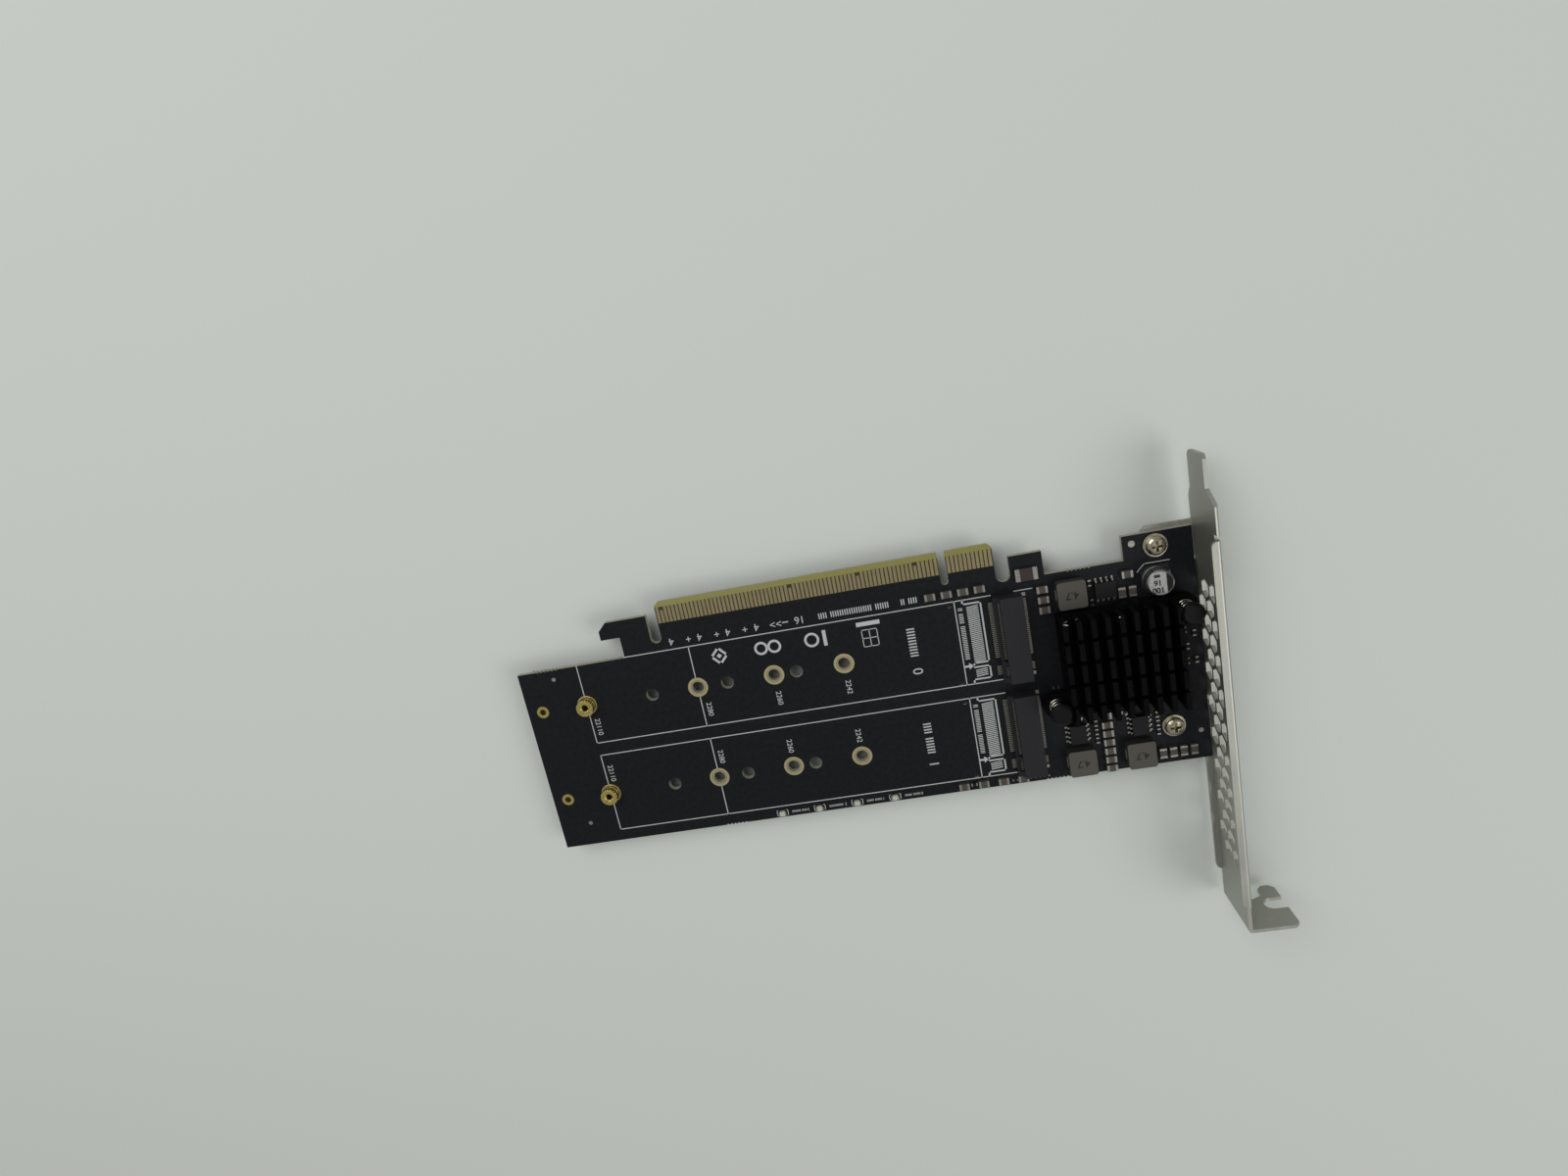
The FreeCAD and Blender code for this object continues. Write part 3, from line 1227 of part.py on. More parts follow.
def from_key(spots):
    return [("(%s)" % x, y) for x, y in spots]


def small_parts():
    """Capacitors, resistors, status lights and the fuse, two nodes each."""
    cap = ("cap_long", "cap_wide", "cap_tall", "cap_end")
    chip = ("chip_long", "chip_wide", "resistor_tall", "chip_end")
    light = ("led_long", "led_wide", "led_tall", "led_end")
    fuse = ("fuse_long", "fuse_wide", "fuse_tall", "fuse_end")
    caps_along = from_key(EDGE_CAPACITORS)
    caps_along += from_sink(UPPER_CAPACITORS_ALONG, SINK_UPPER)
    caps_along += from_sink(LOWER_CAPACITORS_ALONG, SINK_LOWER)
    caps_across = from_sink(UPPER_CAPACITORS_ACROSS, SINK_UPPER)
    caps_across += from_sink(LOWER_CAPACITORS_ACROSS, SINK_LOWER)
    chips_along = from_key(EDGE_RESISTORS)
    chips_along += from_sink(SIDE_RESISTORS_ALONG)
    chips_along += from_sink(LOWER_SMALL_ALONG, SINK_LOWER)
    chips_across = from_sink(UPPER_RESISTORS_ACROSS, SINK_UPPER)
    chips_across += from_sink(LOWER_RESISTORS_ACROSS, SINK_LOWER)
    chips_across += from_sink(SIDE_RESISTORS_ACROSS)
    lights = [("-led_first + %d * led_pitch" % k, "led_inset - " + BOARD_DEPTH) for k in range(4)]
    fuse_x = "%s + end_slot_width + edge_land / 2 - 0.25" % TONGUE_RIGHT
    groups = [
        ("ceramic_capacitor", cap, caps_along, caps_across),
        ("chip_resistor", chip, chips_along, chips_across),
        ("status_light", light, lights, []),
        ("resettable_fuse", fuse, [(fuse_x, "-fuse_drop")], []),
    ]
    made = []
    for label, size, along, across in groups:
        middles, ends = two_ended(label, along, size)
        more_middles, more_ends = two_ended(label + "_across", across, size, across=True)
        plural = label if label == "resettable_fuse" else label + "s"
        made.append(gather(plural, middles + more_middles))
        made.append(gather(label + "_ends", ends + more_ends))
    return made


# ---------------------------------------------------------- document

def build_all():
    nodes = [circuit_board()]
    front_short = ["-(contact_first + %d * contact_pitch)" % k for k in SHORT_CONTACTS]
    back_short = [LAST_RIGHT]
    nodes.append(edge_contacts("front_edge_contacts", "0", front_short))
    nodes.append(edge_contacts("back_edge_contacts", "-board_thick - copper_thick", back_short))
    nodes += module_sockets()
    nodes.append(standoffs("front_standoffs", "front_stop", "front_hole", False))
    nodes.append(standoffs("back_standoffs", "back_stop", "back_hole", True))
    nodes += [bracket(), bracket_screws()]
    nodes += [heatsink(), push_pins(), push_pin_springs()]
    nodes += chip_under_sink()
    nodes += inductors()
    nodes += electrolytic()
    nodes += driver_chips()
    nodes += small_parts()
    return nodes


def check(nodes):
    """Stop if any object failed or any piece is empty or not valid."""
    for thing in DOCUMENT.Objects:
        if "Invalid" in thing.State or "Error" in thing.State:
            raise RuntimeError("%s failed: %s" % (thing.Label, thing.State))
    for node in nodes:
        if node.Shape.isNull() or not node.Shape.isValid():
            raise RuntimeError("%s has no valid shape" % node.Label)


NAMES = {name for name, _, _ in SIZES}
fill_sheet()
NODES = build_all()
DOCUMENT.recompute()
check(NODES)
os.makedirs("parts", exist_ok=True)
for node in NODES:
    node.Shape.exportStep(os.path.join("parts", node.Label + ".step"))
    print(node.Label, len(node.Shape.Solids), round(node.Shape.Volume, 3))
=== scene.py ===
"""Looks of the adapter card for four storage modules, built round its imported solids.

Everything is in the card's own frame, in metres: X runs towards the slot
bracket, Y out of the gold contacts and Z out of the component face.
"""
import json
import math
import random

import bmesh
import bpy
from mathutils import Matrix, Vector


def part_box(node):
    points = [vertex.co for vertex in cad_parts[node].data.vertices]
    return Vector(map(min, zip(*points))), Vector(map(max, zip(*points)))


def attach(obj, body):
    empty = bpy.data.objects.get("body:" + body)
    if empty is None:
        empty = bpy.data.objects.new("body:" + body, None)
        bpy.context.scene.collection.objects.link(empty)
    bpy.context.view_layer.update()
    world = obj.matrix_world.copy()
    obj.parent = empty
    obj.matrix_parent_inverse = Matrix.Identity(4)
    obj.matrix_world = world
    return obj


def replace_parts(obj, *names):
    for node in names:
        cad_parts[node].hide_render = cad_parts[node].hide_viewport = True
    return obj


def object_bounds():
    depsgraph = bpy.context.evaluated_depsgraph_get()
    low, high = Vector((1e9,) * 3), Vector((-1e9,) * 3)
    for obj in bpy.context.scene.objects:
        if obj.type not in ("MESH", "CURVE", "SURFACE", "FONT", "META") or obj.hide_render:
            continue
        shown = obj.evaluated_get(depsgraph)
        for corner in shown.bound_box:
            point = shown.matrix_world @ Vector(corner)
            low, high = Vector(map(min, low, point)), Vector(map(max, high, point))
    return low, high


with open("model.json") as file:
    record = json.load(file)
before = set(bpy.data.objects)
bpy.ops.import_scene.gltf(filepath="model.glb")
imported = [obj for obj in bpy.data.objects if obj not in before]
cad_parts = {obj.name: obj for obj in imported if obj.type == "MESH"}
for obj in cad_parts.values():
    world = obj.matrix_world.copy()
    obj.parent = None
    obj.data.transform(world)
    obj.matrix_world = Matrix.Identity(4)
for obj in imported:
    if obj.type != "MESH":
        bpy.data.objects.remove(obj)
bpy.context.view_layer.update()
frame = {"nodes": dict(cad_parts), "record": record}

# ------------------------------------------------------------ circuit board
# Glass-epoxy laminate, pressed from woven glass sheets, routed to outline and
# coated on both faces with black solder mask, which stops short of the gold
# contacts and leaves the yellow-brown laminate bare there and at every cut edge.
MM = 0.001
MASK_BLACK = "#111215"
LAMINATE_BEVEL = "#76733b"
LAMINATE_BARE = "#3b311e"
LAMINATE_EDGE = "#8f8d7c"
MASK_START = -5.6
BEVEL_START = -1.3
TONGUE_FROM = -73.0
TONGUE_TO = 12.6
FACE_SLOPE = 0.7
GLASS_THREAD = 0.5
DUST = 10 / 9
BOARD_LOW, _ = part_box("circuit_board")


def linear(colour):
    """Turn an sRGB hex colour into the linear colour that a shader takes."""
    values = [int(colour[k:k + 2], 16) / 255 for k in (1, 3, 5)]
    return [v / 12.92 if v <= 0.04045 else ((v + 0.055) / 1.055) ** 2.4 for v in values] + [1.0]


def add(tree, kind, links=(), **settings):
    """Add one shader node; links gives a value or an output for each input.

    Inputs that share a name go by number: a colour mix has its factor at 0 and
    its colours at 6 and 7, a map range its value at 0 and its ends at 1 to 4.
    """
    node = tree.nodes.new(kind)
    for name, value in settings.items():
        setattr(node, name, value)
    for key, value in dict(links).items():
        if isinstance(value, bpy.types.NodeSocket):
            tree.links.new(value, node.inputs[key])
        else:
            node.inputs[key].default_value = value
    return node


def new_material(name, **sockets):
    """A material with one Principled shader, and its sockets set by value."""
    material = bpy.data.materials.new(name)
    material.use_nodes = True
    tree = material.node_tree
    shader = tree.nodes["Principled BSDF"]
    for key, value in sockets.items():
        shader.inputs[key.replace("_", " ")].default_value = value
    return material, tree, shader


def dress(material, *nodes):
    """Give CAD nodes their material."""
    for name in nodes:
        for slot in frame["nodes"][name].material_slots:
            slot.material = material


def wave(period):
    """The wave texture's scale for bands a given number of millimetres apart."""
    return 2 * math.pi / (20 * period * MM)


def apart(size):
    """A noise's scale, or a mapping's, for spots so many millimetres apart."""
    return 1 / (size * MM)


# Cured epoxy mask: nearly black, with a soft low sheen, dust in it and the
# weave of the glass just lifting its skin.
mask, tree, shader = new_material("solder_mask_on_glass_epoxy", Roughness=0.4, Specular_IOR_Level=0.15)
where = add(tree, "ShaderNodeTexCoord").outputs["Object"]
spot = add(tree, "ShaderNodeSeparateXYZ", {"Vector": where})
facing = add(tree, "ShaderNodeSeparateXYZ", {0: add(tree, "ShaderNodeNewGeometry").outputs["Normal"]})
upright = add(tree, "ShaderNodeMath", {0: facing.outputs["Z"]}, operation="ABSOLUTE")
on_face = add(tree, "ShaderNodeMath", {0: upright.outputs[0], 1: FACE_SLOPE}, operation="GREATER_THAN")
below = add(tree, "ShaderNodeMath", {0: spot.outputs["Y"], 1: MASK_START * MM}, operation="LESS_THAN")
left = add(tree, "ShaderNodeMath", {0: spot.outputs["X"], 1: TONGUE_FROM * MM}, operation="LESS_THAN")
right = add(tree, "ShaderNodeMath", {0: spot.outputs["X"], 1: TONGUE_TO * MM}, operation="GREATER_THAN")
beside = add(tree, "ShaderNodeMath", {0: left.outputs[0], 1: right.outputs[0]}, operation="MAXIMUM")
coated = add(tree, "ShaderNodeMath", {0: below.outputs[0], 1: beside.outputs[0]}, operation="MAXIMUM")
bevelled = add(tree, "ShaderNodeMath", {0: spot.outputs["Y"], 1: BEVEL_START * MM}, operation="GREATER_THAN")
dust = add(tree, "ShaderNodeTexNoise", {"Vector": where, "Scale": apart(DUST), "Detail": 5.0})
bare = add(tree, "ShaderNodeMix",
           {0: bevelled.outputs[0], 6: linear(LAMINATE_BARE), 7: linear(LAMINATE_BEVEL)},
           data_type="RGBA")
speckle = add(tree, "ShaderNodeMapRange", {0: dust.outputs[0], 1: 0.35, 2: 0.7, 3: 0.75, 4: 1.25})
black = add(tree, "ShaderNodeMix", {0: 1.0, 6: linear(MASK_BLACK), 7: speckle.outputs[0]},
            data_type="RGBA", blend_type="MULTIPLY")
face = add(tree, "ShaderNodeMix", {0: coated.outputs[0], 6: bare.outputs[2], 7: black.outputs[2]},
           data_type="RGBA")
skin = add(tree, "ShaderNodeMix", {0: on_face.outputs[0], 6: linear(LAMINATE_EDGE), 7: face.outputs[2]},
           data_type="RGBA")
tree.links.new(skin.outputs[2], shader.inputs["Base Color"])
warp = add(tree, "ShaderNodeTexWave", {"Vector": where, "Scale": wave(GLASS_THREAD)}, bands_direction="X")
weft = add(tree, "ShaderNodeTexWave", {"Vector": where, "Scale": wave(GLASS_THREAD)}, bands_direction="Y")
cloth = add(tree, "ShaderNodeMath", {0: warp.outputs["Fac"], 1: weft.outputs["Fac"]}, operation="MULTIPLY")
relief = add(tree, "ShaderNodeBump", {"Strength": 0.12, "Distance": 0.02 * MM, "Height": cloth.outputs[0]})
tree.links.new(relief.outputs[0], shader.inputs["Normal"])
dress(mask, "circuit_board")

# ------------------------------------------------------------ gold contacts
# Copper pads on both faces of the tongue, plated with hard gold over nickel,
# so they shine but show the fine scratches of being pushed into a slot.
HARD_GOLD = "#aca07a"
SCRATCH_PITCH = 0.12
SCRATCH_LENGTH = 20 / 7

# Hard gold: pale and bright, with scratches along Y drawn wider than real ones
# so that they show.
gold, tree, shader = new_material("hard_gold_on_copper", Metallic=1.0, Roughness=0.34)
where = add(tree, "ShaderNodeTexCoord").outputs["Object"]
stretch = add(tree, "ShaderNodeMapping", {"Vector": where, "Scale": (
    apart(SCRATCH_PITCH), apart(SCRATCH_LENGTH), apart(SCRATCH_LENGTH))})
scratches = add(tree, "ShaderNodeTexNoise", {"Vector": stretch.outputs[0], "Scale": 1.0, "Detail": 3.0})
worn = add(tree, "ShaderNodeMapRange", {0: scratches.outputs[0], 1: 0.3, 2: 0.75, 3: 0.7, 4: 1.15})
tone = add(tree, "ShaderNodeMix", {0: 1.0, 6: linear(HARD_GOLD), 7: worn.outputs[0]},
           data_type="RGBA", blend_type="MULTIPLY")
tree.links.new(tone.outputs[2], shader.inputs["Base Color"])
dress(gold, "front_edge_contacts", "back_edge_contacts")

# ------------------------------------------------------------ plated rings
# The copper rings round the module screw holes are plated with a thin, duller
# immersion gold; the solder mask leaves a narrow bare gap around each ring, and
# a thin land shows round each pressed-in standoff.
IMMERSION_GOLD = "#b3a982"
PLATING_CLOUD = 5 / 9
RING_LIP = 0.24
RING_START = 0.33
RING_BORDER = 1.05
RING_HEIGHT = 0.04
LAND_INNER = 2.3
LAND_OUTER = 2.62
MODULE_LENGTHS = (42, 60, 80)
mounts = {mount["name"]: mount for mount in frame["record"]["mounts"]}


def finish_piece(name, mesh, material):
    """Turn a mesh being built into a piece that rides on the card."""
    data = bpy.data.meshes.new(name)
    bmesh.ops.recalc_face_normals(mesh, faces=mesh.faces)
    mesh.to_mesh(data)
    mesh.free()
    data.materials.append(material)
    piece = bpy.data.objects.new(name, data)
    bpy.context.scene.collection.objects.link(piece)
    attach(piece, "root")
    return piece


def wall(mesh, low, high):
    """Join two rings of as many corners each with a band of faces."""
    for k in range(len(low)):
        follow = (k + 1) % len(low)
        mesh.faces.new((low[k], low[follow], high[follow], high[k]))


def turned(mesh, profile, centre, steps=48):
    """Turn a profile of (radius, height) points about Z at a centre, in mm."""
    rings = []
    for radius, height in profile:
        turns = [2 * math.pi * k / steps for k in range(steps)]
        rings.append([mesh.verts.new(((centre[0] + radius * math.cos(a)) * MM,
                                      (centre[1] + radius * math.sin(a)) * MM,
                                      (centre[2] + height) * MM)) for a in turns])
    for low, high in zip(rings, rings[1:]):
        wall(mesh, low, high)
    return rings


# Immersion gold: thinner and cloudier than the contacts, so it looks matt.
immersion, tree, shader = new_material("immersion_gold", Metallic=0.85, Roughness=0.45)
where = add(tree, "ShaderNodeTexCoord").outputs["Object"]
cloudy = add(tree, "ShaderNodeTexNoise", {"Vector": where, "Scale": apart(PLATING_CLOUD), "Detail": 4.0})
uneven = add(tree, "ShaderNodeMapRange", {0: cloudy.outputs[0], 3: 0.8, 4: 1.15})
tone = add(tree, "ShaderNodeMix", {0: 1.0, 6: linear(IMMERSION_GOLD), 7: uneven.outputs[0]},
           data_type="RGBA", blend_type="MULTIPLY")
tree.links.new(tone.outputs[2], shader.inputs["Base Color"])

BAY_ROWS = [mounts["front_standoff_thread_%d" % k]["pos_m"][1] / MM for k in (1, 2)]
rings = bmesh.new()
for side, face, height in (("front", 0.0, RING_HEIGHT), ("back", BOARD_LOW.z / MM, -RING_HEIGHT)):
    for length in MODULE_LENGTHS:
        pattern = mounts["%s_holes_%d" % (side, length)]
        radius = pattern["dims"]["hole_r_mm"]
        for row in BAY_ROWS:
            for start, end in ((0.0, RING_LIP), (RING_START, RING_BORDER)):
                turned(rings, [(radius + start, 0), (radius + start, height), (radius + end, height),
                               (radius + end, 0)], (pattern["pos_m"][0] / MM, row, face))
for k in (1, 2):
    x, y, _ = [value / MM for value in mounts["front_standoff_thread_%d" % k]["pos_m"]]
    turned(rings, [(LAND_INNER, 0), (LAND_INNER, RING_HEIGHT), (LAND_OUTER, RING_HEIGHT), (LAND_OUTER, 0)],
           (x, y, 0))
finish_piece("plated_rings", rings, immersion)

# ------------------------------------------------------------ printed legend
# White epoxy ink, screen-printed on the cured mask: bay outlines, module
# lengths, contact maps beside the sockets and generic marks and numbers.
LEGEND_WHITE = "#aeb0af"
INK_GRAIN = 5 / 26
INK_HEIGHT = 0.015
LINE = 0.24
THIN = 0.2
# Shares of the height of the print: a numeral in its letter size, then a bar,
# the step to its pair, the steps to the next pair, and the rest at the end.
CAP_SHARE = 0.73
BAR_SHARE = 0.18
PAIR_SHARE = 0.38
STEP_SHARES = (0.78, 0.78, 0.78, 0.78, 1.25)
REST_SHARE = 0.6
# The bay outlines, in X on the card and in Y from the middle of a bay.
BAY_TOP = 11.18
BAY_LOW = -10.87
SHORT_END = -65.95
LONG_END = -95.95
SOCKET_END = 10.2
TAB_STOP = -83.0
TAB_GAP = 0.1
RING_GAP = 2.75
MAP_EDGE = 1.35
# The socket's contact map, from the middle of a bay.
MAP_BLOCKS = ((-5.24, 9.46), (-9.14, -7.04))
MAP_FROM, MAP_TO = 4.2, 6.8
MAP_PITCH = 0.48
MAP_TILT = 0.12
MAP_BAR = 0.26
MAP_LINE = 0.4
MAP_LONG = [(3.3, BAY_TOP), (3.3, 10.06), (7.6, 10.06), (7.6, -5.44), (4.2, -5.44), (3.6, -6.04)]
MAP_SHORT = [(3.9, -6.54), (7.6, -6.54), (7.6, -9.74), (3.3, -9.74), (3.3, BAY_LOW)]
KEY_ARROW = [(1.5, -6.3), (2.6, -6.3), (2.6, -6.9), (3.8, -6.04), (2.6, -5.18), (2.6, -5.78), (1.5, -5.78)]
# Numbers and rows of bars in each bay: places, from the middle of a bay in Y,
# and heights of the print.
LENGTHS = ((-94.3, "22110"), (-64.2, "2280"), (-45.8, "2260"), (-27.8, "2242"))
LENGTH_ROWS = (-6.4, 5.7)
LENGTH_TALL = 1.4
NAME_COLUMN = -10.2
NAME_SPAN = (6.2, -3.2)
NAME_TALL = 2.0
NUMBER_ROW = -5.2
NUMBER_TALL = 2.6
KEY_COLUMN = 2.55
KEY_SPAN = (9.2, -4.6)
KEY_TALL = 1.15
# The row of numbers beside the contacts, and the bars that follow it.
LANE_ROW = -10.75
LANE_TALL = 1.95
LANES = ((-36.7, "16"), (-42.8, ">>"), (-47.7, "4"), (-50.7, "+"), (-55.1, "4"),
         (-58.0, "+"), (-62.5, "4"), (-65.4, "+"), (-69.9, "4"))
LANE_ARROW = (-39.7, -41.0)
LANE_ARROW_LINE = 0.3
LANE_WORDS = ((-7.4, -12.4, 11), (-14.4, -32.4, 12))
LANE_WORD_TALL = 1.5
# Generic marks: a diamond, two rings, a ring with a bar, and a window.
MARK_LINE = 0.6
DIAMOND = [(-60.6, -16.6), (-58.6, -14.5), (-56.6, -16.6), (-58.6, -18.7), (-60.6, -16.6)]
DIAMOND_EYE = [(-59.3, -16.6), (-58.6, -15.9), (-57.9, -16.6), (-58.6, -17.3)]
MARK_RINGS = ((-47.7, -16.5, 1.45), (-44.3, -16.5, 1.45), (-34.7, -16.5, 1.6))
MARK_BAR = [(-31.4, -14.9), (-31.4, -18.1)]
MARK_BAR_LINE = 0.9
LINTEL = [(-22.6, -14.6), (-17.8, -14.6)]
LINTEL_LINE = 1.1
WINDOW = [(-22.1, -16.2), (-18.3, -16.2), (-18.3, -20.6), (-22.1, -20.6), (-22.1, -16.2)]
WINDOW_POST = [(-20.2, -16.2), (-20.2, -20.6)]
WINDOW_RAIL = [(-22.1, -18.4), (-18.3, -18.4)]
# Outlines round the parts of the power stage and beside the status lights.
CAN_ARC = 3.75
CAN_ARC_ANGLE = 60
CAN_CORNER = 3.8
CAN_CHAMFER = 2.0
PIN_ONE_OUT = 0.9
PIN_ONE_UP = 0.5
PIN_ONE_RADIUS = 0.16
PIN_ONE_LINE = 0.3
LIGHTS = 4
LIGHT_PITCH = 10.0
LIGHT_HALF = 0.65
BRACE_INNER = 1.2
BRACE_OUTER = 1.45
BRACE_TALL = 0.75
LIGHT_WORD = (2.6, 6.6)
LIGHT_WORD_TALL = 0.6
LIGHT_NUMBER = 7.0
LIGHT_NUMBER_TALL = 0.8
RECESS_LINE = [(15.9, -12.75), (20.2, -12.75)]


def flat(mesh, corners, height=INK_HEIGHT):
    """One flat patch of ink through (x, y) corners in millimetres."""
    mesh.faces.new([mesh.verts.new((x * MM, y * MM, height * MM)) for x, y in corners])


def stroke(mesh, start, end, width=LINE):
    """A printed line with square ends that reach half its width further."""
    run = Vector(end) - Vector(start)
    side = Vector((-run.y, run.x)).normalized() * width / 2
    cap = run.normalized() * width / 2
    a, b = Vector(start) - cap, Vector(end) + cap
    flat(mesh, [a - side, b - side, b + side, a + side])


def route(mesh, points, width=LINE, row=0.0):
    """Printed lines from point to point, whose Y is counted from a row."""
    for (x1, y1), (x2, y2) in zip(points, points[1:]):
        stroke(mesh, (x1, row + y1), (x2, row + y2), width)


def loop(mesh, x, y, radius, width=LINE, begin=0.0, end=360.0):
    """A printed circle, or the part of it between two angles."""
    steps = max(8, int((end - begin) / 9))
    angles = [math.radians(begin + (end - begin) * k / steps) for k in range(steps + 1)]
    for a, b in zip(angles, angles[1:]):
        flat(mesh, [(x + r * math.cos(t), y + r * math.sin(t)) for r, t in (
            (radius - width / 2, a), (radius + width / 2, a),
            (radius + width / 2, b), (radius - width / 2, b))])


def numerals(mesh, text, x, y, tall, turn=-90.0, height=INK_HEIGHT, weight=0.0):
    """Plain numbers in the built-in letter shapes, centred on a place."""
    curve = bpy.data.curves.new("numerals", "FONT")
    curve.body = text
    curve.size = tall * MM / CAP_SHARE
    curve.offset = weight * tall * MM
    curve.align_x = "CENTER"
    curve.align_y = "CENTER"
    holder = bpy.data.objects.new("numerals", curve)
    bpy.context.scene.collection.objects.link(holder)
    bpy.context.view_layer.update()
    shape = bpy.data.meshes.new_from_object(holder.evaluated_get(bpy.context.evaluated_depsgraph_get()))
    place = Matrix.Translation((x * MM, y * MM, height * MM))
    shape.transform(place @ Matrix.Rotation(math.radians(turn), 4, "Z"))
    mesh.from_mesh(shape)
    bpy.data.objects.remove(holder)
    bpy.data.curves.remove(curve)
    bpy.data.meshes.remove(shape)


def dashes(mesh, start, end, tall, seed):
    """A row of paired bars that holds the place of a line of small print."""
    pick = random.Random(seed)
    run = Vector(end) - Vector(start)
    along = run.normalized()
    across = Vector((-along.y, along.x)) * tall / 2
    bar = along * tall * BAR_SHARE
    done = 0.0
    while done < run.length - tall * REST_SHARE:
        for shift in (0.0, tall * PAIR_SHARE):
            foot = Vector(start) + along * (done + shift)
            flat(mesh, [foot - across, foot + bar - across, foot + bar + across, foot + across])
        done += tall * pick.choice(STEP_SHARES)


def contact_map(mesh, row):
    """The hatched picture of the socket's contacts, with its key arrow."""
    for low, high in MAP_BLOCKS:
        count = int((high - low) / MAP_PITCH)
        for k in range(count):
            y = row + low + (k + 0.5) * (high - low) / count
            stroke(mesh, (MAP_FROM, y - MAP_TILT), (MAP_TO, y + MAP_TILT), MAP_BAR)
    route(mesh, MAP_LONG, MAP_LINE, row)
    route(mesh, MAP_SHORT, MAP_LINE, row)
    flat(mesh, [(x, row + y) for x, y in KEY_ARROW])


def bay_outline(mesh, row, shift=0.0, top_from=LONG_END, gap=0.0):
    """The outline of one bay, open where it would cross the rings."""
    top = row + BAY_TOP
    low = row + BAY_LOW
    route(mesh, [(top_from + shift, top), (SOCKET_END + shift, top)])
    route(mesh, [(LONG_END + shift, low), (SOCKET_END + shift, low)])
    for x in (LONG_END + shift, SHORT_END + shift):
        route(mesh, [(x, top - gap), (x, row + RING_GAP)])
        route(mesh, [(x, row - RING_GAP), (x, low)])
    route(mesh, [(MAP_EDGE + shift, top), (MAP_EDGE + shift, low)])


# Screen-printed ink: chalky white, a little thin where the screen starved it.
legend_ink, tree, shader = new_material("screen_printed_epoxy_ink", Roughness=0.7)
where = add(tree, "ShaderNodeTexCoord").outputs["Object"]
grain = add(tree, "ShaderNodeTexNoise", {"Vector": where, "Scale": apart(INK_GRAIN), "Detail": 3.0})
thin = add(tree, "ShaderNodeMapRange", {0: grain.outputs[0], 1: 0.3, 2: 0.6, 3: 0.62, 4: 1.0})
tone = add(tree, "ShaderNodeMix", {0: 1.0, 6: linear(LEGEND_WHITE), 7: thin.outputs[0]},
           data_type="RGBA", blend_type="MULTIPLY")
tree.links.new(tone.outputs[2], shader.inputs["Base Color"])

legend = bmesh.new()
for bay, (row, top_from, gap) in enumerate(zip(BAY_ROWS, (TAB_STOP, LONG_END), (TAB_GAP, 0.0))):
    bay_outline(legend, row, top_from=top_from, gap=gap)
    contact_map(legend, row)
    for x, text in LENGTHS:
        numerals(legend, text, x, row + LENGTH_ROWS[bay], LENGTH_TALL)
    dashes(legend, (NAME_COLUMN, row + NAME_SPAN[0]), (NAME_COLUMN, row + NAME_SPAN[1]), NAME_TALL, seed=bay)
    numerals(legend, str(bay), NAME_COLUMN, row + NUMBER_ROW, NUMBER_TALL)
    dashes(legend, (KEY_COLUMN, row + KEY_SPAN[0]), (KEY_COLUMN, row + KEY_SPAN[1]), KEY_TALL, seed=bay + 5)
for x, text in LANES:
    numerals(legend, text, x, LANE_ROW, LANE_TALL, turn=180.0)
stroke(legend, (LANE_ARROW[0], LANE_ROW), (LANE_ARROW[1], LANE_ROW), LANE_ARROW_LINE)
for start, end, seed in LANE_WORDS:
    dashes(legend, (start, LANE_ROW), (end, LANE_ROW), LANE_WORD_TALL, seed)
route(legend, DIAMOND, MARK_LINE)
flat(legend, DIAMOND_EYE)
for x, y, radius in MARK_RINGS:
    loop(legend, x, y, radius, MARK_LINE)
route(legend, MARK_BAR, MARK_BAR_LINE)
route(legend, LINTEL, LINTEL_LINE)
for lines in (WINDOW, WINDOW_POST, WINDOW_RAIL):
    route(legend, lines, THIN)

base_low, base_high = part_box("capacitor_base")
can_x = (base_low.x + base_high.x) / 2 / MM
can_y = (base_low.y + base_high.y) / 2 / MM
loop(legend, can_x, can_y, CAN_ARC, THIN, -CAN_ARC_ANGLE, CAN_ARC_ANGLE)
route(legend, [(can_x - CAN_CORNER, can_y + CAN_CHAMFER), (can_x - CAN_CHAMFER, can_y + CAN_CORNER),
               (can_x + CAN_CORNER, can_y + CAN_CORNER)], THIN)
for name in ("driver_chip_1", "driver_chip_2", "driver_chip_3"):
    low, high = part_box(name)
    loop(legend, low.x / MM - PIN_ONE_OUT, high.y / MM + PIN_ONE_UP, PIN_ONE_RADIUS, PIN_ONE_LINE)
light_low, light_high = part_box("status_lights")
light_y = (light_low.y + light_high.y) / 2 / MM
for k in range(LIGHTS):
    x = light_low.x / MM + LIGHT_HALF + k * LIGHT_PITCH
    for side in (-1, 1):
        inner, outer = x + side * BRACE_INNER, x + side * BRACE_OUTER
        route(legend, [(inner, light_y - BRACE_TALL), (outer, light_y - BRACE_TALL),
                       (outer, light_y + BRACE_TALL), (inner, light_y + BRACE_TALL)], THIN)
    dashes(legend, (x + LIGHT_WORD[0], light_y), (x + LIGHT_WORD[1], light_y), LIGHT_WORD_TALL, seed=20 + k)
    numerals(legend, str(LIGHTS - 1 - k), x + LIGHT_NUMBER, light_y, LIGHT_NUMBER_TALL, turn=180.0)
route(legend, RECESS_LINE, THIN)
finish_piece("front_legend", legend, legend_ink)

# The back has the same bays, drawn as seen from below.
front_stop, back_stop = (mounts[name]["pos_m"][0] for name in ("front_module_slot_1", "back_module_slot_1"))
legend = bmesh.new()
for row in BAY_ROWS:
    bay_outline(legend, row, shift=(back_stop - front_stop) / MM)
for vertex in legend.verts:
    vertex.co.z = BOARD_LOW.z - INK_HEIGHT * MM
finish_piece("back_legend", legend, legend_ink)

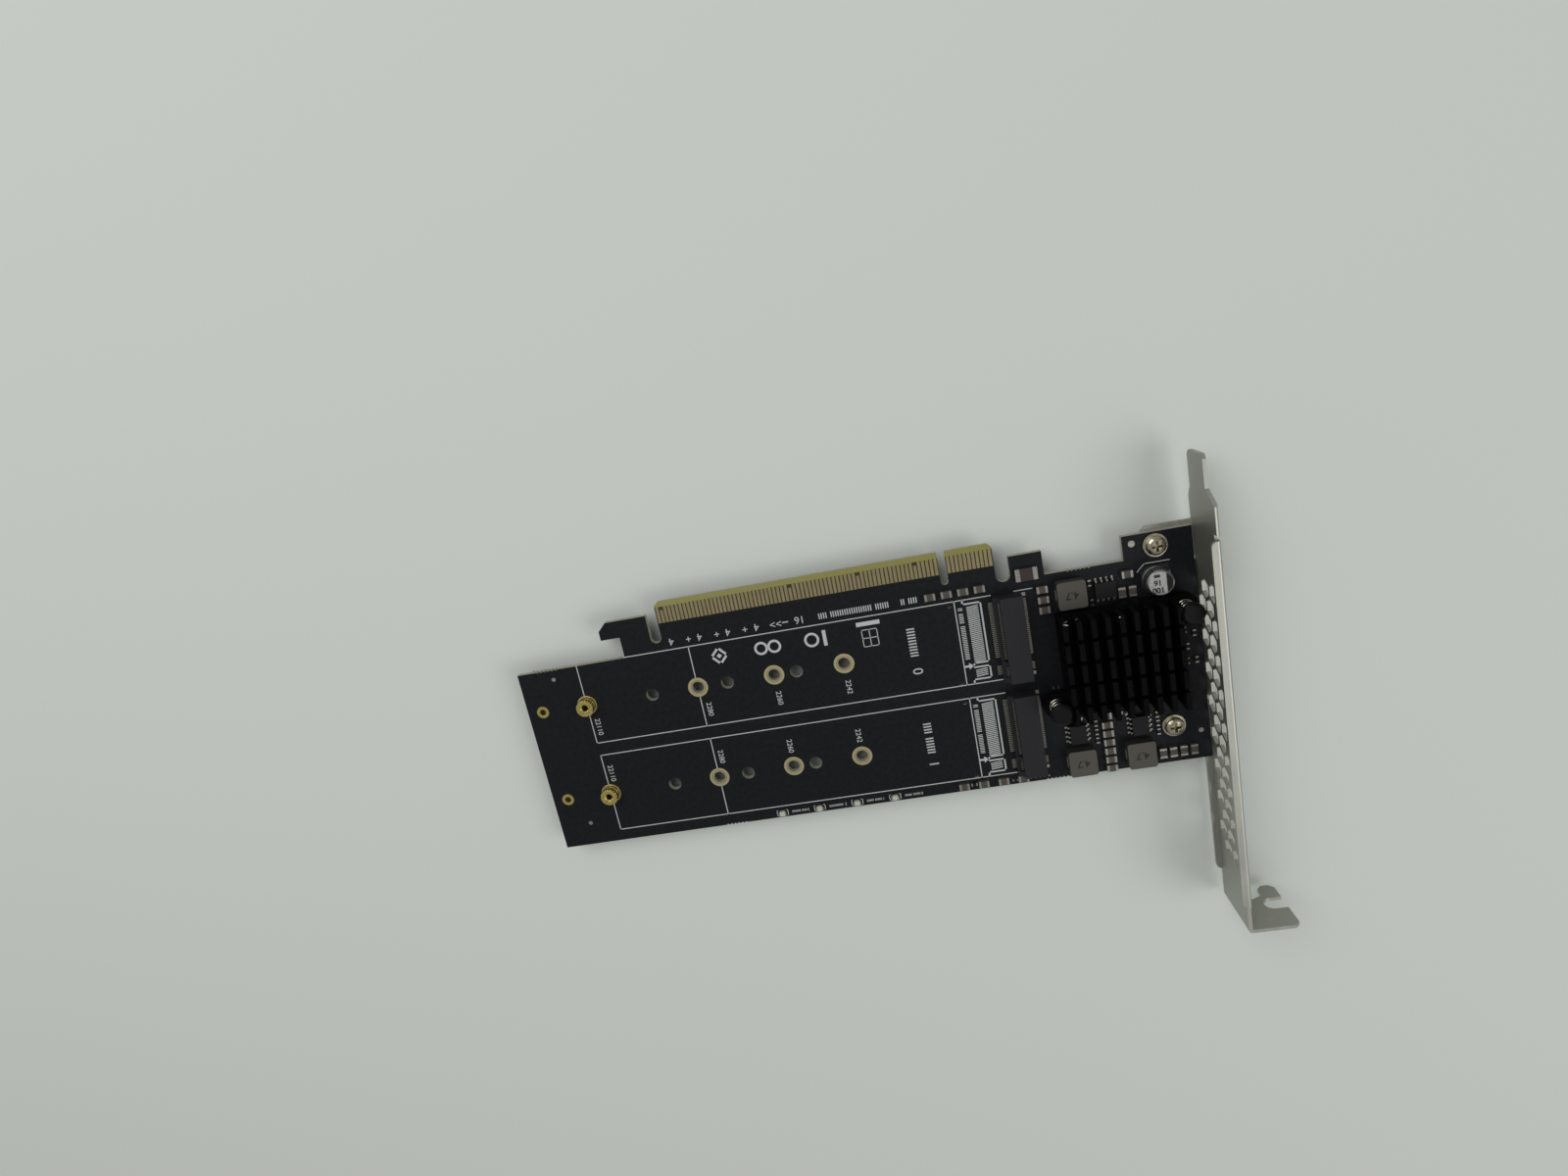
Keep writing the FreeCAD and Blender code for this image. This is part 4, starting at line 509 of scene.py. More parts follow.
# ------------------------------------------------------------ bare pads
# Alignment dots and test points: round openings in the mask that show the
# tinned copper below. The same tin covers the soldered ends and leads.
TIN_DARK = "#6f6e66"
TIN_BRIGHT = "#bfbdb2"
TIN_LUMP = 5 / 13
DOTS = [(-102.8, -15.6, 0.55), (-103.7, -57.4, 0.55), (44.3, -6.1, 0.8), (56.0, -56.2, 0.6)]
DOT_HEIGHT = 0.02
VIA_ROWS = [((47.9, -25.0), (53.0, -47.5), 7),
            ((9.0, -62.7), (18.0, -62.7), 9), ((24.6, -45.9), (31.0, -45.9), 5)]
VIA_INNER = 0.09
VIA_OUTER = 0.24
VIA_HEIGHT = 0.012
# A radius small enough to close a turned face at its middle.
MIDDLE = 0.001

# Reflowed tin: bright, with the soft lumps that it froze in.
tin, tree, shader = new_material("reflowed_tin", Metallic=0.95, Roughness=0.32)
where = add(tree, "ShaderNodeTexCoord").outputs["Object"]
lumps = add(tree, "ShaderNodeTexNoise", {"Vector": where, "Scale": apart(TIN_LUMP), "Detail": 3.0})
tone = add(tree, "ShaderNodeValToRGB", {0: lumps.outputs[0]})
tone.color_ramp.elements[0].color = linear(TIN_DARK)
tone.color_ramp.elements[1].color = linear(TIN_BRIGHT)
tree.links.new(tone.outputs[0], shader.inputs["Base Color"])
dents = add(tree, "ShaderNodeBump", {"Strength": 0.5, "Distance": 0.06 * MM, "Height": lumps.outputs[0]})
tree.links.new(dents.outputs[0], shader.inputs["Normal"])

dots = bmesh.new()
for x, y, radius in DOTS:
    turned(dots, [(MIDDLE, DOT_HEIGHT), (radius, DOT_HEIGHT), (radius, 0)], (x, y, 0), steps=24)
for start, end, count in VIA_ROWS:
    for k in range(count):
        at = Vector(start).lerp(Vector(end), k / (count - 1))
        turned(dots, [(VIA_INNER, VIA_HEIGHT), (VIA_OUTER, VIA_HEIGHT), (VIA_OUTER, 0)],
               (at.x, at.y, 0), steps=16)
finish_piece("bare_pads", dots, tin)
dress(tin, *[name for name in frame["nodes"] if name.endswith(("_ends", "_leads", "_terminals", "_anchors"))])

# ------------------------------------------------------------ module sockets
# Housings moulded from a dark grey high-temperature plastic, whose fine flow
# marks run along the part; stamped contacts plated with gold.
HOUSING_GREY = "#1d1d20"
FLOW_MARK = 0.25
FLOW_LENGTH = 10 / 3
FLOW_DEPTH = 1 / 3
FLASH_DARK = "#77746a"
FLASH_BRIGHT = "#b0ada1"
FLASH_SPOT = 1 / 3

# Liquid crystal polymer: an even dark grey, half matt, streaked by its flow.
plastic, tree, shader = new_material("moulded_liquid_crystal_polymer", Roughness=0.5, Specular_IOR_Level=0.2)
where = add(tree, "ShaderNodeTexCoord").outputs["Object"]
flow = add(tree, "ShaderNodeMapping", {"Vector": where, "Scale": (
    apart(FLOW_MARK), apart(FLOW_LENGTH), apart(FLOW_DEPTH))})
marks = add(tree, "ShaderNodeTexNoise", {"Vector": flow.outputs[0], "Scale": 1.0, "Detail": 4.0})
shade = add(tree, "ShaderNodeMapRange", {0: marks.outputs[0], 3: 0.82, 4: 1.2})
tone = add(tree, "ShaderNodeMix", {0: 1.0, 6: linear(HOUSING_GREY), 7: shade.outputs[0]},
           data_type="RGBA", blend_type="MULTIPLY")
tree.links.new(tone.outputs[2], shader.inputs["Base Color"])
grain = add(tree, "ShaderNodeBump", {"Strength": 0.25, "Distance": 0.03 * MM, "Height": marks.outputs[0]})
tree.links.new(grain.outputs[0], shader.inputs["Normal"])
dress(plastic, "capacitor_base", *[name for name in frame["nodes"] if name.endswith("_housing")])

# Gold flash over nickel: so thin that the contacts look silvery.
flash, tree, shader = new_material("gold_flash_on_contacts", Metallic=1.0, Roughness=0.3)
where = add(tree, "ShaderNodeTexCoord").outputs["Object"]
spots = add(tree, "ShaderNodeTexNoise", {"Vector": where, "Scale": apart(FLASH_SPOT)})
tone = add(tree, "ShaderNodeValToRGB", {0: spots.outputs[0]})
tone.color_ramp.elements[0].color = linear(FLASH_DARK)
tone.color_ramp.elements[1].color = linear(FLASH_BRIGHT)
tree.links.new(tone.outputs[0], shader.inputs["Base Color"])
dress(flash, *[name for name in frame["nodes"] if "socket" in name and name.endswith("_contacts")])

# ------------------------------------------------------------ standoffs
# Turned brass nuts with a knurled rim that bites into the board when they are
# pressed in; the lathe leaves fine rings on the flat.
BRASS_DULL = "#a39042"
BRASS_BRIGHT = "#ddd184"
TARNISH = 2 / 3
TEETH = 22
TOOTH_ROOT = 2.0
TOOTH_TIP = 2.32
KNURL_LOW = 1.9
KNURL_HIGH = 0.15
RIM_INNER = 1.3
RIM_OUTER = 1.95
RIM_LIFT = 0.01
STANDOFF_TOPS = (("front", 2.5, 1), ("back", -4.1, -1))

# Brass: yellow and bright where it was cut, duller where air has reached it.
brass, tree, shader = new_material("turned_brass", Metallic=1.0, Roughness=0.28)
where = add(tree, "ShaderNodeTexCoord").outputs["Object"]
tarnish = add(tree, "ShaderNodeTexNoise", {"Vector": where, "Scale": apart(TARNISH), "Detail": 4.0})
tone = add(tree, "ShaderNodeMix", {0: tarnish.outputs[0], 6: linear(BRASS_DULL), 7: linear(BRASS_BRIGHT)},
           data_type="RGBA")
tree.links.new(tone.outputs[2], shader.inputs["Base Color"])
turning = add(tree, "ShaderNodeBump", {"Strength": 0.3, "Distance": 0.03 * MM, "Height": tarnish.outputs[0]})
tree.links.new(turning.outputs[0], shader.inputs["Normal"])
dress(brass, "front_standoffs", "back_standoffs")


def knurl(mesh, centre, low, high):
    """A ring of sharp teeth round a standoff, from one height to another."""
    walls = []
    for height in (low, high):
        ring = []
        for k in range(TEETH * 2):
            angle = 2 * math.pi * k / (TEETH * 2)
            radius = TOOTH_TIP if k % 2 else TOOTH_ROOT
            ring.append(mesh.verts.new(((centre[0] + radius * math.cos(angle)) * MM,
                                        (centre[1] + radius * math.sin(angle)) * MM, height * MM)))
        walls.append(ring)
    wall(mesh, *walls)
    return walls[1]


teeth = bmesh.new()
for side, top, up in STANDOFF_TOPS:
    for k in (1, 2):
        x, y, _ = [value / MM for value in mounts["%s_standoff_thread_%d" % (side, k)]["pos_m"]]
        outer = knurl(teeth, (x, y), top - up * KNURL_LOW, top - up * KNURL_HIGH)
        rim = turned(teeth, [(RIM_INNER, 0), (RIM_OUTER, 0)], (x, y, top + up * RIM_LIFT), steps=TEETH * 2)
        wall(teeth, rim[1], outer)
finish_piece("standoff_knurls", teeth, brass)

# ------------------------------------------------------------ slot bracket
# Cold-rolled steel sheet, stamped and folded, then bright nickel plated; the
# rolling leaves fine lines along its length.
NICKEL = "#a2a299"
ROLLING_LINE = 0.08
ROLLING_WIDTH = 10 / 9
ROLLING_LENGTH = 50 / 3
PLATING_PATCH = 100 / 9

# Nickel plate: a warm silver, half bright, with the sheet's lines and cloudy
# patches under it.
nickel, tree, shader = new_material("nickel_plated_sheet_steel", Metallic=0.85, Roughness=0.42)
where = add(tree, "ShaderNodeTexCoord").outputs["Object"]
rolled = add(tree, "ShaderNodeMapping", {"Vector": where, "Scale": (
    apart(ROLLING_WIDTH), apart(ROLLING_LENGTH), apart(ROLLING_LINE))})
lines = add(tree, "ShaderNodeTexNoise", {"Vector": rolled.outputs[0], "Scale": 1.0, "Detail": 5.0})
patch = add(tree, "ShaderNodeTexNoise", {"Vector": where, "Scale": apart(PLATING_PATCH), "Detail": 3.0})
mottle = add(tree, "ShaderNodeMix", {0: 0.5, 6: lines.outputs[0], 7: patch.outputs[0]}, data_type="RGBA")
shade = add(tree, "ShaderNodeMapRange", {0: mottle.outputs[2], 1: 0.3, 2: 0.7, 3: 0.86, 4: 1.1})
tone = add(tree, "ShaderNodeMix", {0: 1.0, 6: linear(NICKEL), 7: shade.outputs[0]},
           data_type="RGBA", blend_type="MULTIPLY")
tree.links.new(tone.outputs[2], shader.inputs["Base Color"])
matt = add(tree, "ShaderNodeMapRange", {0: mottle.outputs[2], 1: 0.3, 2: 0.7, 3: 0.36, 4: 0.5})
tree.links.new(matt.outputs[0], shader.inputs["Roughness"])
brushed = add(tree, "ShaderNodeBump", {"Strength": 0.15, "Distance": 0.02 * MM, "Height": lines.outputs[0]})
tree.links.new(brushed.outputs[0], shader.inputs["Normal"])
dress(nickel, "bracket")

# ------------------------------------------------------------ bracket screws
# Washer-faced pan-head machine screws, cold-headed with a cross recess and
# zinc plated, which gives them a bright, slightly yellow grey.
ZINC_DULL = "#948d78"
ZINC = "#c4bda6"
ZINC_PIT = 5 / 11
WASHER_RADIUS = 2.9
HEAD_RADIUS = 2.3
SHANK_RADIUS = 1.44
RECESS_HALF = 0.36
RECESS_REACH = 1.35
RECESS_MOUTH = 1.05
RECESS_FLOOR = 0.5
RECESS_DEPTH = 1.15
RECESS_CLEAR = 0.3
WELD = 1e-6

# Zinc plate: bright, with the fine pits of the bath.
zinc, tree, shader = new_material("zinc_plated_steel", Metallic=1.0, Roughness=0.24)
where = add(tree, "ShaderNodeTexCoord").outputs["Object"]
pits = add(tree, "ShaderNodeTexNoise", {"Vector": where, "Scale": apart(ZINC_PIT), "Detail": 4.0})
tone = add(tree, "ShaderNodeMix", {0: pits.outputs[0], 6: linear(ZINC_DULL), 7: linear(ZINC)},
           data_type="RGBA")
tree.links.new(tone.outputs[2], shader.inputs["Base Color"])
rough = add(tree, "ShaderNodeBump", {"Strength": 0.3, "Distance": 0.03 * MM, "Height": pits.outputs[0]})
tree.links.new(rough.outputs[0], shader.inputs["Normal"])

screw_low, screw_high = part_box("bracket_screws")
screw_x = (screw_low.x + screw_high.x) / 2 / MM
screw_top = screw_high.z / MM
screw_end = screw_low.z / MM
screw_rows = [screw_high.y / MM - WASHER_RADIUS, screw_low.y / MM + WASHER_RADIUS]
# From the chamfered tip up the shank, over the washer and round the head.
HEAD_PROFILE = [(MIDDLE, screw_end), (SHANK_RADIUS - 0.3, screw_end), (SHANK_RADIUS, screw_end + 0.3),
                (SHANK_RADIUS, 0.0), (WASHER_RADIUS, 0.0), (WASHER_RADIUS, 0.38), (WASHER_RADIUS - 0.12, 0.5),
                (HEAD_RADIUS + 0.1, 0.52), (HEAD_RADIUS, 0.62), (HEAD_RADIUS, screw_top - 0.85),
                (HEAD_RADIUS - 0.18, screw_top - 0.5), (HEAD_RADIUS - 0.6, screw_top - 0.17),
                (HEAD_RADIUS - 1.25, screw_top - 0.02), (MIDDLE, screw_top)]


def solid_object(name, mesh):
    """Close a mesh being built into a solid for a cut."""
    data = bpy.data.meshes.new(name)
    bmesh.ops.remove_doubles(mesh, verts=mesh.verts, dist=WELD)
    bmesh.ops.holes_fill(mesh, edges=mesh.edges)
    bmesh.ops.recalc_face_normals(mesh, faces=mesh.faces)
    mesh.to_mesh(data)
    mesh.free()
    thing = bpy.data.objects.new(name, data)
    bpy.context.scene.collection.objects.link(thing)
    return thing


def recess_cutter(x, y):
    """A tapered cross for a cross-point driver."""
    mesh = bmesh.new()
    outline = [(RECESS_HALF, RECESS_REACH), (RECESS_HALF, RECESS_HALF), (RECESS_REACH, RECESS_HALF)]
    corners = []
    for k in range(4):
        angle = math.radians(90 * k)
        for a, b in reversed(outline):
            corners.append((a * math.cos(angle) - b * math.sin(angle),
                            a * math.sin(angle) + b * math.cos(angle)))
    rings = []
    for height, scale in ((screw_top + RECESS_CLEAR, RECESS_MOUTH), (screw_top - RECESS_DEPTH, RECESS_FLOOR)):
        rings.append([mesh.verts.new(((x + a * scale) * MM, (y + b * scale) * MM, height * MM))
                      for a, b in corners])
    mesh.faces.new(rings[0])
    mesh.faces.new(list(reversed(rings[1])))
    wall(mesh, *rings)
    return solid_object("recess_cutter", mesh)


heads = bmesh.new()
for row in screw_rows:
    blank = bmesh.new()
    turned(blank, HEAD_PROFILE, (screw_x, row, 0), steps=56)
    screw = solid_object("screw_blank", blank)
    cutter = recess_cutter(screw_x, row)
    carve = screw.modifiers.new("recess", "BOOLEAN")
    carve.operation = "DIFFERENCE"
    carve.object = cutter
    bpy.context.view_layer.update()
    carved = bpy.data.meshes.new_from_object(screw.evaluated_get(bpy.context.evaluated_depsgraph_get()))
    heads.from_mesh(carved)
    for thing in (screw, cutter):
        bpy.data.objects.remove(thing)
    bpy.data.meshes.remove(carved)
screws = finish_piece("recessed_screws", heads, zinc)
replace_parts(screws, "bracket_screws")

# ------------------------------------------------------------ heatsink
# Extruded aluminium, sawn across into square pins and black anodised, which
# leaves a deep matt black; painted highlights stand in for glints on its top corner edges.
ANODISED = "#040405"
SAW_LINE = 0.2
SAW_WIDTH = 2.5
GLINT_DARK = "#77777a"
GLINT_BRIGHT = "#e4e4e4"
GLINT_SPOT = 0.25
GLINT_LIFT = 0.01
# Painted highlights on the pins' top corner edges: on their tops in X and Y, and on their ends in X and Z.
TOP_GLINTS = ([(24.45, -19.42), (25.3, -19.42), (25.75, -19.75), (25.4, -19.8), (24.9, -19.6)],
              [(37.2, -19.6), (37.5, -19.6), (37.45, -19.9), (37.2, -19.9)])
END_GLINTS = ([(24.4, 10.95), (25.2, 10.95), (25.8, 10.2), (25.75, 9.7), (25.0, 10.5)],
              [(27.45, 10.2), (27.9, 10.0), (28.3, 9.3), (27.9, 9.5)])

# Anodised film: it swallows nearly all light, and only the saw lines show.
anodised, tree, shader = new_material("black_anodised_aluminium", Roughness=0.6, Specular_IOR_Level=0.05)
where = add(tree, "ShaderNodeTexCoord").outputs["Object"]
sawn = add(tree, "ShaderNodeMapping", {"Vector": where, "Scale": (
    apart(SAW_WIDTH), apart(SAW_WIDTH), apart(SAW_LINE))})
lines = add(tree, "ShaderNodeTexNoise", {"Vector": sawn.outputs[0], "Scale": 1.0, "Detail": 5.0})
shade = add(tree, "ShaderNodeMapRange", {0: lines.outputs[0], 1: 0.3, 2: 0.75, 3: 0.7, 4: 1.6})
tone = add(tree, "ShaderNodeMix", {0: 1.0, 6: linear(ANODISED), 7: shade.outputs[0]},
           data_type="RGBA", blend_type="MULTIPLY")
tree.links.new(tone.outputs[2], shader.inputs["Base Color"])
saw = add(tree, "ShaderNodeBump", {"Strength": 0.3, "Distance": 0.04 * MM, "Height": lines.outputs[0]})
tree.links.new(saw.outputs[0], shader.inputs["Normal"])
dress(anodised, "heatsink")

# Painted highlight: white patches with grey mottle that stand in for glints on the corner edges.
glint_paint, tree, shader = new_material("painted_highlight_on_corners", Metallic=1.0, Roughness=0.4)
where = add(tree, "ShaderNodeTexCoord").outputs["Object"]
glint_noise = add(tree, "ShaderNodeTexNoise", {"Vector": where, "Scale": apart(GLINT_SPOT), "Detail": 4.0})
tone = add(tree, "ShaderNodeMix", {0: glint_noise.outputs[0], 6: linear(GLINT_DARK), 7: linear(GLINT_BRIGHT)},
           data_type="RGBA")
tree.links.new(tone.outputs[2], shader.inputs["Base Color"])
_, sink_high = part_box("heatsink")
sink_end = sink_high.y / MM + GLINT_LIFT
# These patches are painted highlights on the heatsink's top corner edges.
glints = bmesh.new()
for glint_patch in TOP_GLINTS:
    flat(glints, glint_patch, sink_high.z / MM + GLINT_LIFT)
for glint_patch in END_GLINTS:
    glints.faces.new([glints.verts.new((x * MM, sink_end * MM, z * MM)) for x, z in glint_patch])
finish_piece("painted_corner_highlights", glints, glint_paint)

# ------------------------------------------------------------ push pins
# Nylon pins moulded in one piece, with barbs that spread under the board. Each
# holds a spring wound from drawn steel wire, which presses the heatsink down.
NYLON = "#08080a"
NYLON_SKIN = 0.4
WIRE_DARK = "#6a675b"
WIRE_BRIGHT = "#b9b6a9"
WIRE_SPOT = 0.5
SPRING_TURNS = 4
SPRING_OUTER = 2.02
WIRE_RADIUS = 0.19
TURN_STEPS = 36
WIRE_SIDES = 10
PIN_HEAD_RADIUS = 2.75

# Nylon: black, with the dull bloom of a textured mould.
nylon, tree, shader = new_material("moulded_black_nylon", Roughness=0.5, Specular_IOR_Level=0.12)
where = add(tree, "ShaderNodeTexCoord").outputs["Object"]
skin = add(tree, "ShaderNodeTexNoise", {"Vector": where, "Scale": apart(NYLON_SKIN), "Detail": 4.0})
shade = add(tree, "ShaderNodeMapRange", {0: skin.outputs[0], 3: 0.75, 4: 1.3})
tone = add(tree, "ShaderNodeMix", {0: 1.0, 6: linear(NYLON), 7: shade.outputs[0]},
           data_type="RGBA", blend_type="MULTIPLY")
tree.links.new(tone.outputs[2], shader.inputs["Base Color"])
dress(nylon, "push_pins")

# Drawn wire: polished by the die, so each turn has one sharp highlight.
wire, tree, shader = new_material("drawn_spring_wire", Metallic=1.0, Roughness=0.2)
where = add(tree, "ShaderNodeTexCoord").outputs["Object"]
drawn = add(tree, "ShaderNodeTexNoise", {"Vector": where, "Scale": apart(WIRE_SPOT)})
tone = add(tree, "ShaderNodeMix", {0: drawn.outputs[0], 6: linear(WIRE_DARK), 7: linear(WIRE_BRIGHT)},
           data_type="RGBA")
tree.links.new(tone.outputs[2], shader.inputs["Base Color"])

spring_low, spring_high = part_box("push_pin_springs")
pin_low, pin_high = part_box("push_pins")
spring_places = [(pin_low.x / MM + PIN_HEAD_RADIUS, pin_low.y / MM + PIN_HEAD_RADIUS),
                 (pin_high.x / MM - PIN_HEAD_RADIUS, pin_high.y / MM - PIN_HEAD_RADIUS)]


def coil(mesh, x, y, low, high):
    """A round wire wound about Z, with its last half turn closed flat."""
    steps = SPRING_TURNS * TURN_STEPS
    rings = []
    for k in range(steps + 1):
        share = k / steps
        rise = min(max((share * (SPRING_TURNS + 1) - 0.5) / SPRING_TURNS, 0.0), 1.0)
        angle = 2 * math.pi * SPRING_TURNS * share
        out = Vector((math.cos(angle), math.sin(angle), 0))
        middle = Vector((x, y, low + WIRE_RADIUS + rise * (high - low - 2 * WIRE_RADIUS)))
        middle += out * (SPRING_OUTER - WIRE_RADIUS)
        ring = []
        for j in range(WIRE_SIDES):
            turn = 2 * math.pi * j / WIRE_SIDES
            place = middle + out * WIRE_RADIUS * math.cos(turn) + Vector((0, 0, WIRE_RADIUS * math.sin(turn)))
            ring.append(mesh.verts.new(place * MM))
        rings.append(ring)
    for near, far in zip(rings, rings[1:]):
        wall(mesh, near, far)
    mesh.faces.new(rings[0])
    mesh.faces.new(list(reversed(rings[-1])))


wound = bmesh.new()
for x, y in spring_places:
    coil(wound, x, y, spring_low.z / MM, spring_high.z / MM)
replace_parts(finish_piece("wound_springs", wound, wire), "push_pin_springs")

# ------------------------------------------------------------ chips and pad
# Epoxy mouldings with a finely eroded skin, and the soft grey pad between the
# switch chip and its heatsink.
MOULD_BLACK = "#0e0e0e"
ERODED_SPOT = 1 / 6
PAD_DARK = "#6c6c70"
PAD_PALE = "#8b8b90"
FILLER_GRAIN = 0.2

# Epoxy: off-black and half matt, pitted by the mould's spark-eroded skin,
# which is drawn coarser than the real one so that it shows.
epoxy, tree, shader = new_material("moulded_black_epoxy", Roughness=0.48, Specular_IOR_Level=0.2)
where = add(tree, "ShaderNodeTexCoord").outputs["Object"]
eroded = add(tree, "ShaderNodeTexNoise", {"Vector": where, "Scale": apart(ERODED_SPOT), "Detail": 2.0})
shade = add(tree, "ShaderNodeMapRange", {0: eroded.outputs[0], 3: 0.8, 4: 1.25})
tone = add(tree, "ShaderNodeMix", {0: 1.0, 6: linear(MOULD_BLACK), 7: shade.outputs[0]},
           data_type="RGBA", blend_type="MULTIPLY")
tree.links.new(tone.outputs[2], shader.inputs["Base Color"])
erosion = add(tree, "ShaderNodeBump", {"Strength": 0.3, "Distance": 0.02 * MM, "Height": eroded.outputs[0]})
tree.links.new(erosion.outputs[0], shader.inputs["Normal"])
dress(epoxy, "driver_chip_1", "driver_chip_2", "driver_chip_3", "switch_chip", "chip_resistors")

# Silicone pad: a chalky grey, full of ceramic powder.
silicone, tree, shader = new_material("grey_silicone_pad", Roughness=0.8)
where = add(tree, "ShaderNodeTexCoord").outputs["Object"]
filler = add(tree, "ShaderNodeTexNoise", {"Vector": where, "Scale": apart(FILLER_GRAIN)})
tone = add(tree, "ShaderNodeMix", {0: filler.outputs[0], 6: linear(PAD_DARK), 7: linear(PAD_PALE)},
           data_type="RGBA")
tree.links.new(tone.outputs[2], shader.inputs["Base Color"])
dress(silicone, "thermal_pad")

# ------------------------------------------------------------ inductors
# Iron powder pressed round a coil and baked: a warm grey with a speckled skin,
# marked on top with its value in dark ink.
POWDER_GREY = "#3b3931"
SPECK = 0.12
STAMP_DARK = "#060606"
STAMP_PALE = "#10100f"
STAMP_SPOT = 0.25
VALUE_TALL = 1.9
VALUE_WEIGHT = 0.03
STAMP_LIFT = 0.01

# Pressed powder: matt and speckled, with painted shade that darkens the sides the further they turn from
# facing up.
powder, tree, shader = new_material("pressed_iron_powder", Roughness=0.6)
where = add(tree, "ShaderNodeTexCoord").outputs["Object"]
specks = add(tree, "ShaderNodeTexNoise", {"Vector": where, "Scale": apart(SPECK), "Detail": 3.0})
facing = add(tree, "ShaderNodeSeparateXYZ", {0: add(tree, "ShaderNodeNewGeometry").outputs["Normal"]})
# Painted shade: faces turned away from up are darkened, down to about a third.
side_shade = add(tree, "ShaderNodeMapRange", {0: facing.outputs["Z"], 1: 0.2, 2: 0.9, 3: 0.35, 4: 1.0})
shade = add(tree, "ShaderNodeMapRange", {0: specks.outputs[0], 1: 0.3, 2: 0.7, 3: 0.85, 4: 1.15})
speckle_and_side_shade = add(tree, "ShaderNodeMath", {0: side_shade.outputs[0], 1: shade.outputs[0]}, operation="MULTIPLY")
tone = add(tree, "ShaderNodeMix", {0: 1.0, 6: linear(POWDER_GREY), 7: speckle_and_side_shade.outputs[0]},
           data_type="RGBA", blend_type="MULTIPLY")
tree.links.new(tone.outputs[2], shader.inputs["Base Color"])
skin = add(tree, "ShaderNodeBump", {"Strength": 0.35, "Distance": 0.04 * MM, "Height": specks.outputs[0]})
tree.links.new(skin.outputs[0], shader.inputs["Normal"])
dress(powder, "inductor_1", "inductor_2", "inductor_3")

# Stamped ink: a flat near-black, patchy where the pad lifted.
stamp_ink, tree, shader = new_material("dark_stamped_ink", Roughness=0.7)
where = add(tree, "ShaderNodeTexCoord").outputs["Object"]
patchy = add(tree, "ShaderNodeTexNoise", {"Vector": where, "Scale": apart(STAMP_SPOT)})
tone = add(tree, "ShaderNodeMix", {0: patchy.outputs[0], 6: linear(STAMP_DARK), 7: linear(STAMP_PALE)},
           data_type="RGBA")
tree.links.new(tone.outputs[2], shader.inputs["Base Color"])
values = bmesh.new()
for name in ("inductor_1", "inductor_2", "inductor_3"):
    low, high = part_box(name)
    numerals(values, "4.7", (low.x + high.x) / 2 / MM, (low.y + high.y) / 2 / MM, VALUE_TALL,
             turn=180.0, height=high.z / MM + STAMP_LIFT, weight=VALUE_WEIGHT)

# ------------------------------------------------------------ capacitor can
# Drawn aluminium can, bare and satin, with a printed black band on its
# negative side and its values printed beside it.
CAN_DARK = "#7d7d7b"
CAN_PALE = "#a9a9a5"
DRAW_WIDTH = 2 / 3
DRAW_LENGTH = 25 / 3
BAND_MARGIN = 0.4
BAND_ANGLE = 62
BAND_STEPS = 20
# The print, counted from the can's middle: (number, Y), and a block below.
CAN_PRINT_X = -0.75
CAN_PRINT = (("100", -1.55), ("16", 0.25))
CAN_PRINT_TALL = 1.35
CAN_PRINT_WEIGHT = 0.05
CAN_BLOCK = [(-1.5, 1.5), (-0.1, 1.5), (-0.1, 2.2), (-1.5, 2.2)]

# Drawn aluminium: satin silver, with the draw marks running up the side.
satin, tree, shader = new_material("drawn_aluminium", Metallic=1.0, Roughness=0.36)
where = add(tree, "ShaderNodeTexCoord").outputs["Object"]
draw = add(tree, "ShaderNodeMapping", {"Vector": where, "Scale": (
    apart(DRAW_WIDTH), apart(DRAW_WIDTH), apart(DRAW_LENGTH))})
lines = add(tree, "ShaderNodeTexNoise", {"Vector": draw.outputs[0], "Scale": 1.0, "Detail": 4.0})
tone = add(tree, "ShaderNodeMix", {0: lines.outputs[0], 6: linear(CAN_DARK), 7: linear(CAN_PALE)},
           data_type="RGBA")
tree.links.new(tone.outputs[2], shader.inputs["Base Color"])
dress(satin, "capacitor_can")

can_low, can_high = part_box("capacitor_can")
print_level = can_high.z / MM + STAMP_LIFT
for text, y in CAN_PRINT:
    numerals(values, text, can_x + CAN_PRINT_X, can_y + y, CAN_PRINT_TALL, 180.0, print_level,
             weight=CAN_PRINT_WEIGHT)
flat(values, [(can_x + x, can_y + y) for x, y in CAN_BLOCK], print_level)
finish_piece("printed_values", values, stamp_ink)

band_radius = (can_high.x - can_low.x) / 2 / MM - BAND_MARGIN
angles = [math.radians(BAND_ANGLE * (2 * k / BAND_STEPS - 1)) for k in range(BAND_STEPS + 1)]
band = bmesh.new()
flat(band, [(can_x + band_radius * math.cos(a), can_y + band_radius * math.sin(a)) for a in angles],
     print_level)
finish_piece("polarity_band", band, epoxy)

# ------------------------------------------------------------ small parts
# Fired ceramic blocks, pale light lenses and the polymer fuse, each soldered
# at tinned ends.
CERAMIC = "#38322d"
FIRED_GRAIN = 2 / 7
LENS_DARK = "#8f8e80"
LENS_PALE = "#b9b8a8"
MILKY_SPOT = 5 / 9
FUSE_DARK = "#1a1211"
FUSE_RED = "#2c1c19"
SWIRL = 2 / 3

# Fired ceramic: a brown grey with the faint mottle of the kiln.
ceramic, tree, shader = new_material("fired_barium_titanate", Roughness=0.45)
where = add(tree, "ShaderNodeTexCoord").outputs["Object"]
fired = add(tree, "ShaderNodeTexNoise", {"Vector": where, "Scale": apart(FIRED_GRAIN), "Detail": 3.0})
shade = add(tree, "ShaderNodeMapRange", {0: fired.outputs[0], 3: 0.8, 4: 1.25})
tone = add(tree, "ShaderNodeMix", {0: 1.0, 6: linear(CERAMIC), 7: shade.outputs[0]},
           data_type="RGBA", blend_type="MULTIPLY")
tree.links.new(tone.outputs[2], shader.inputs["Base Color"])
dress(ceramic, "ceramic_capacitors")

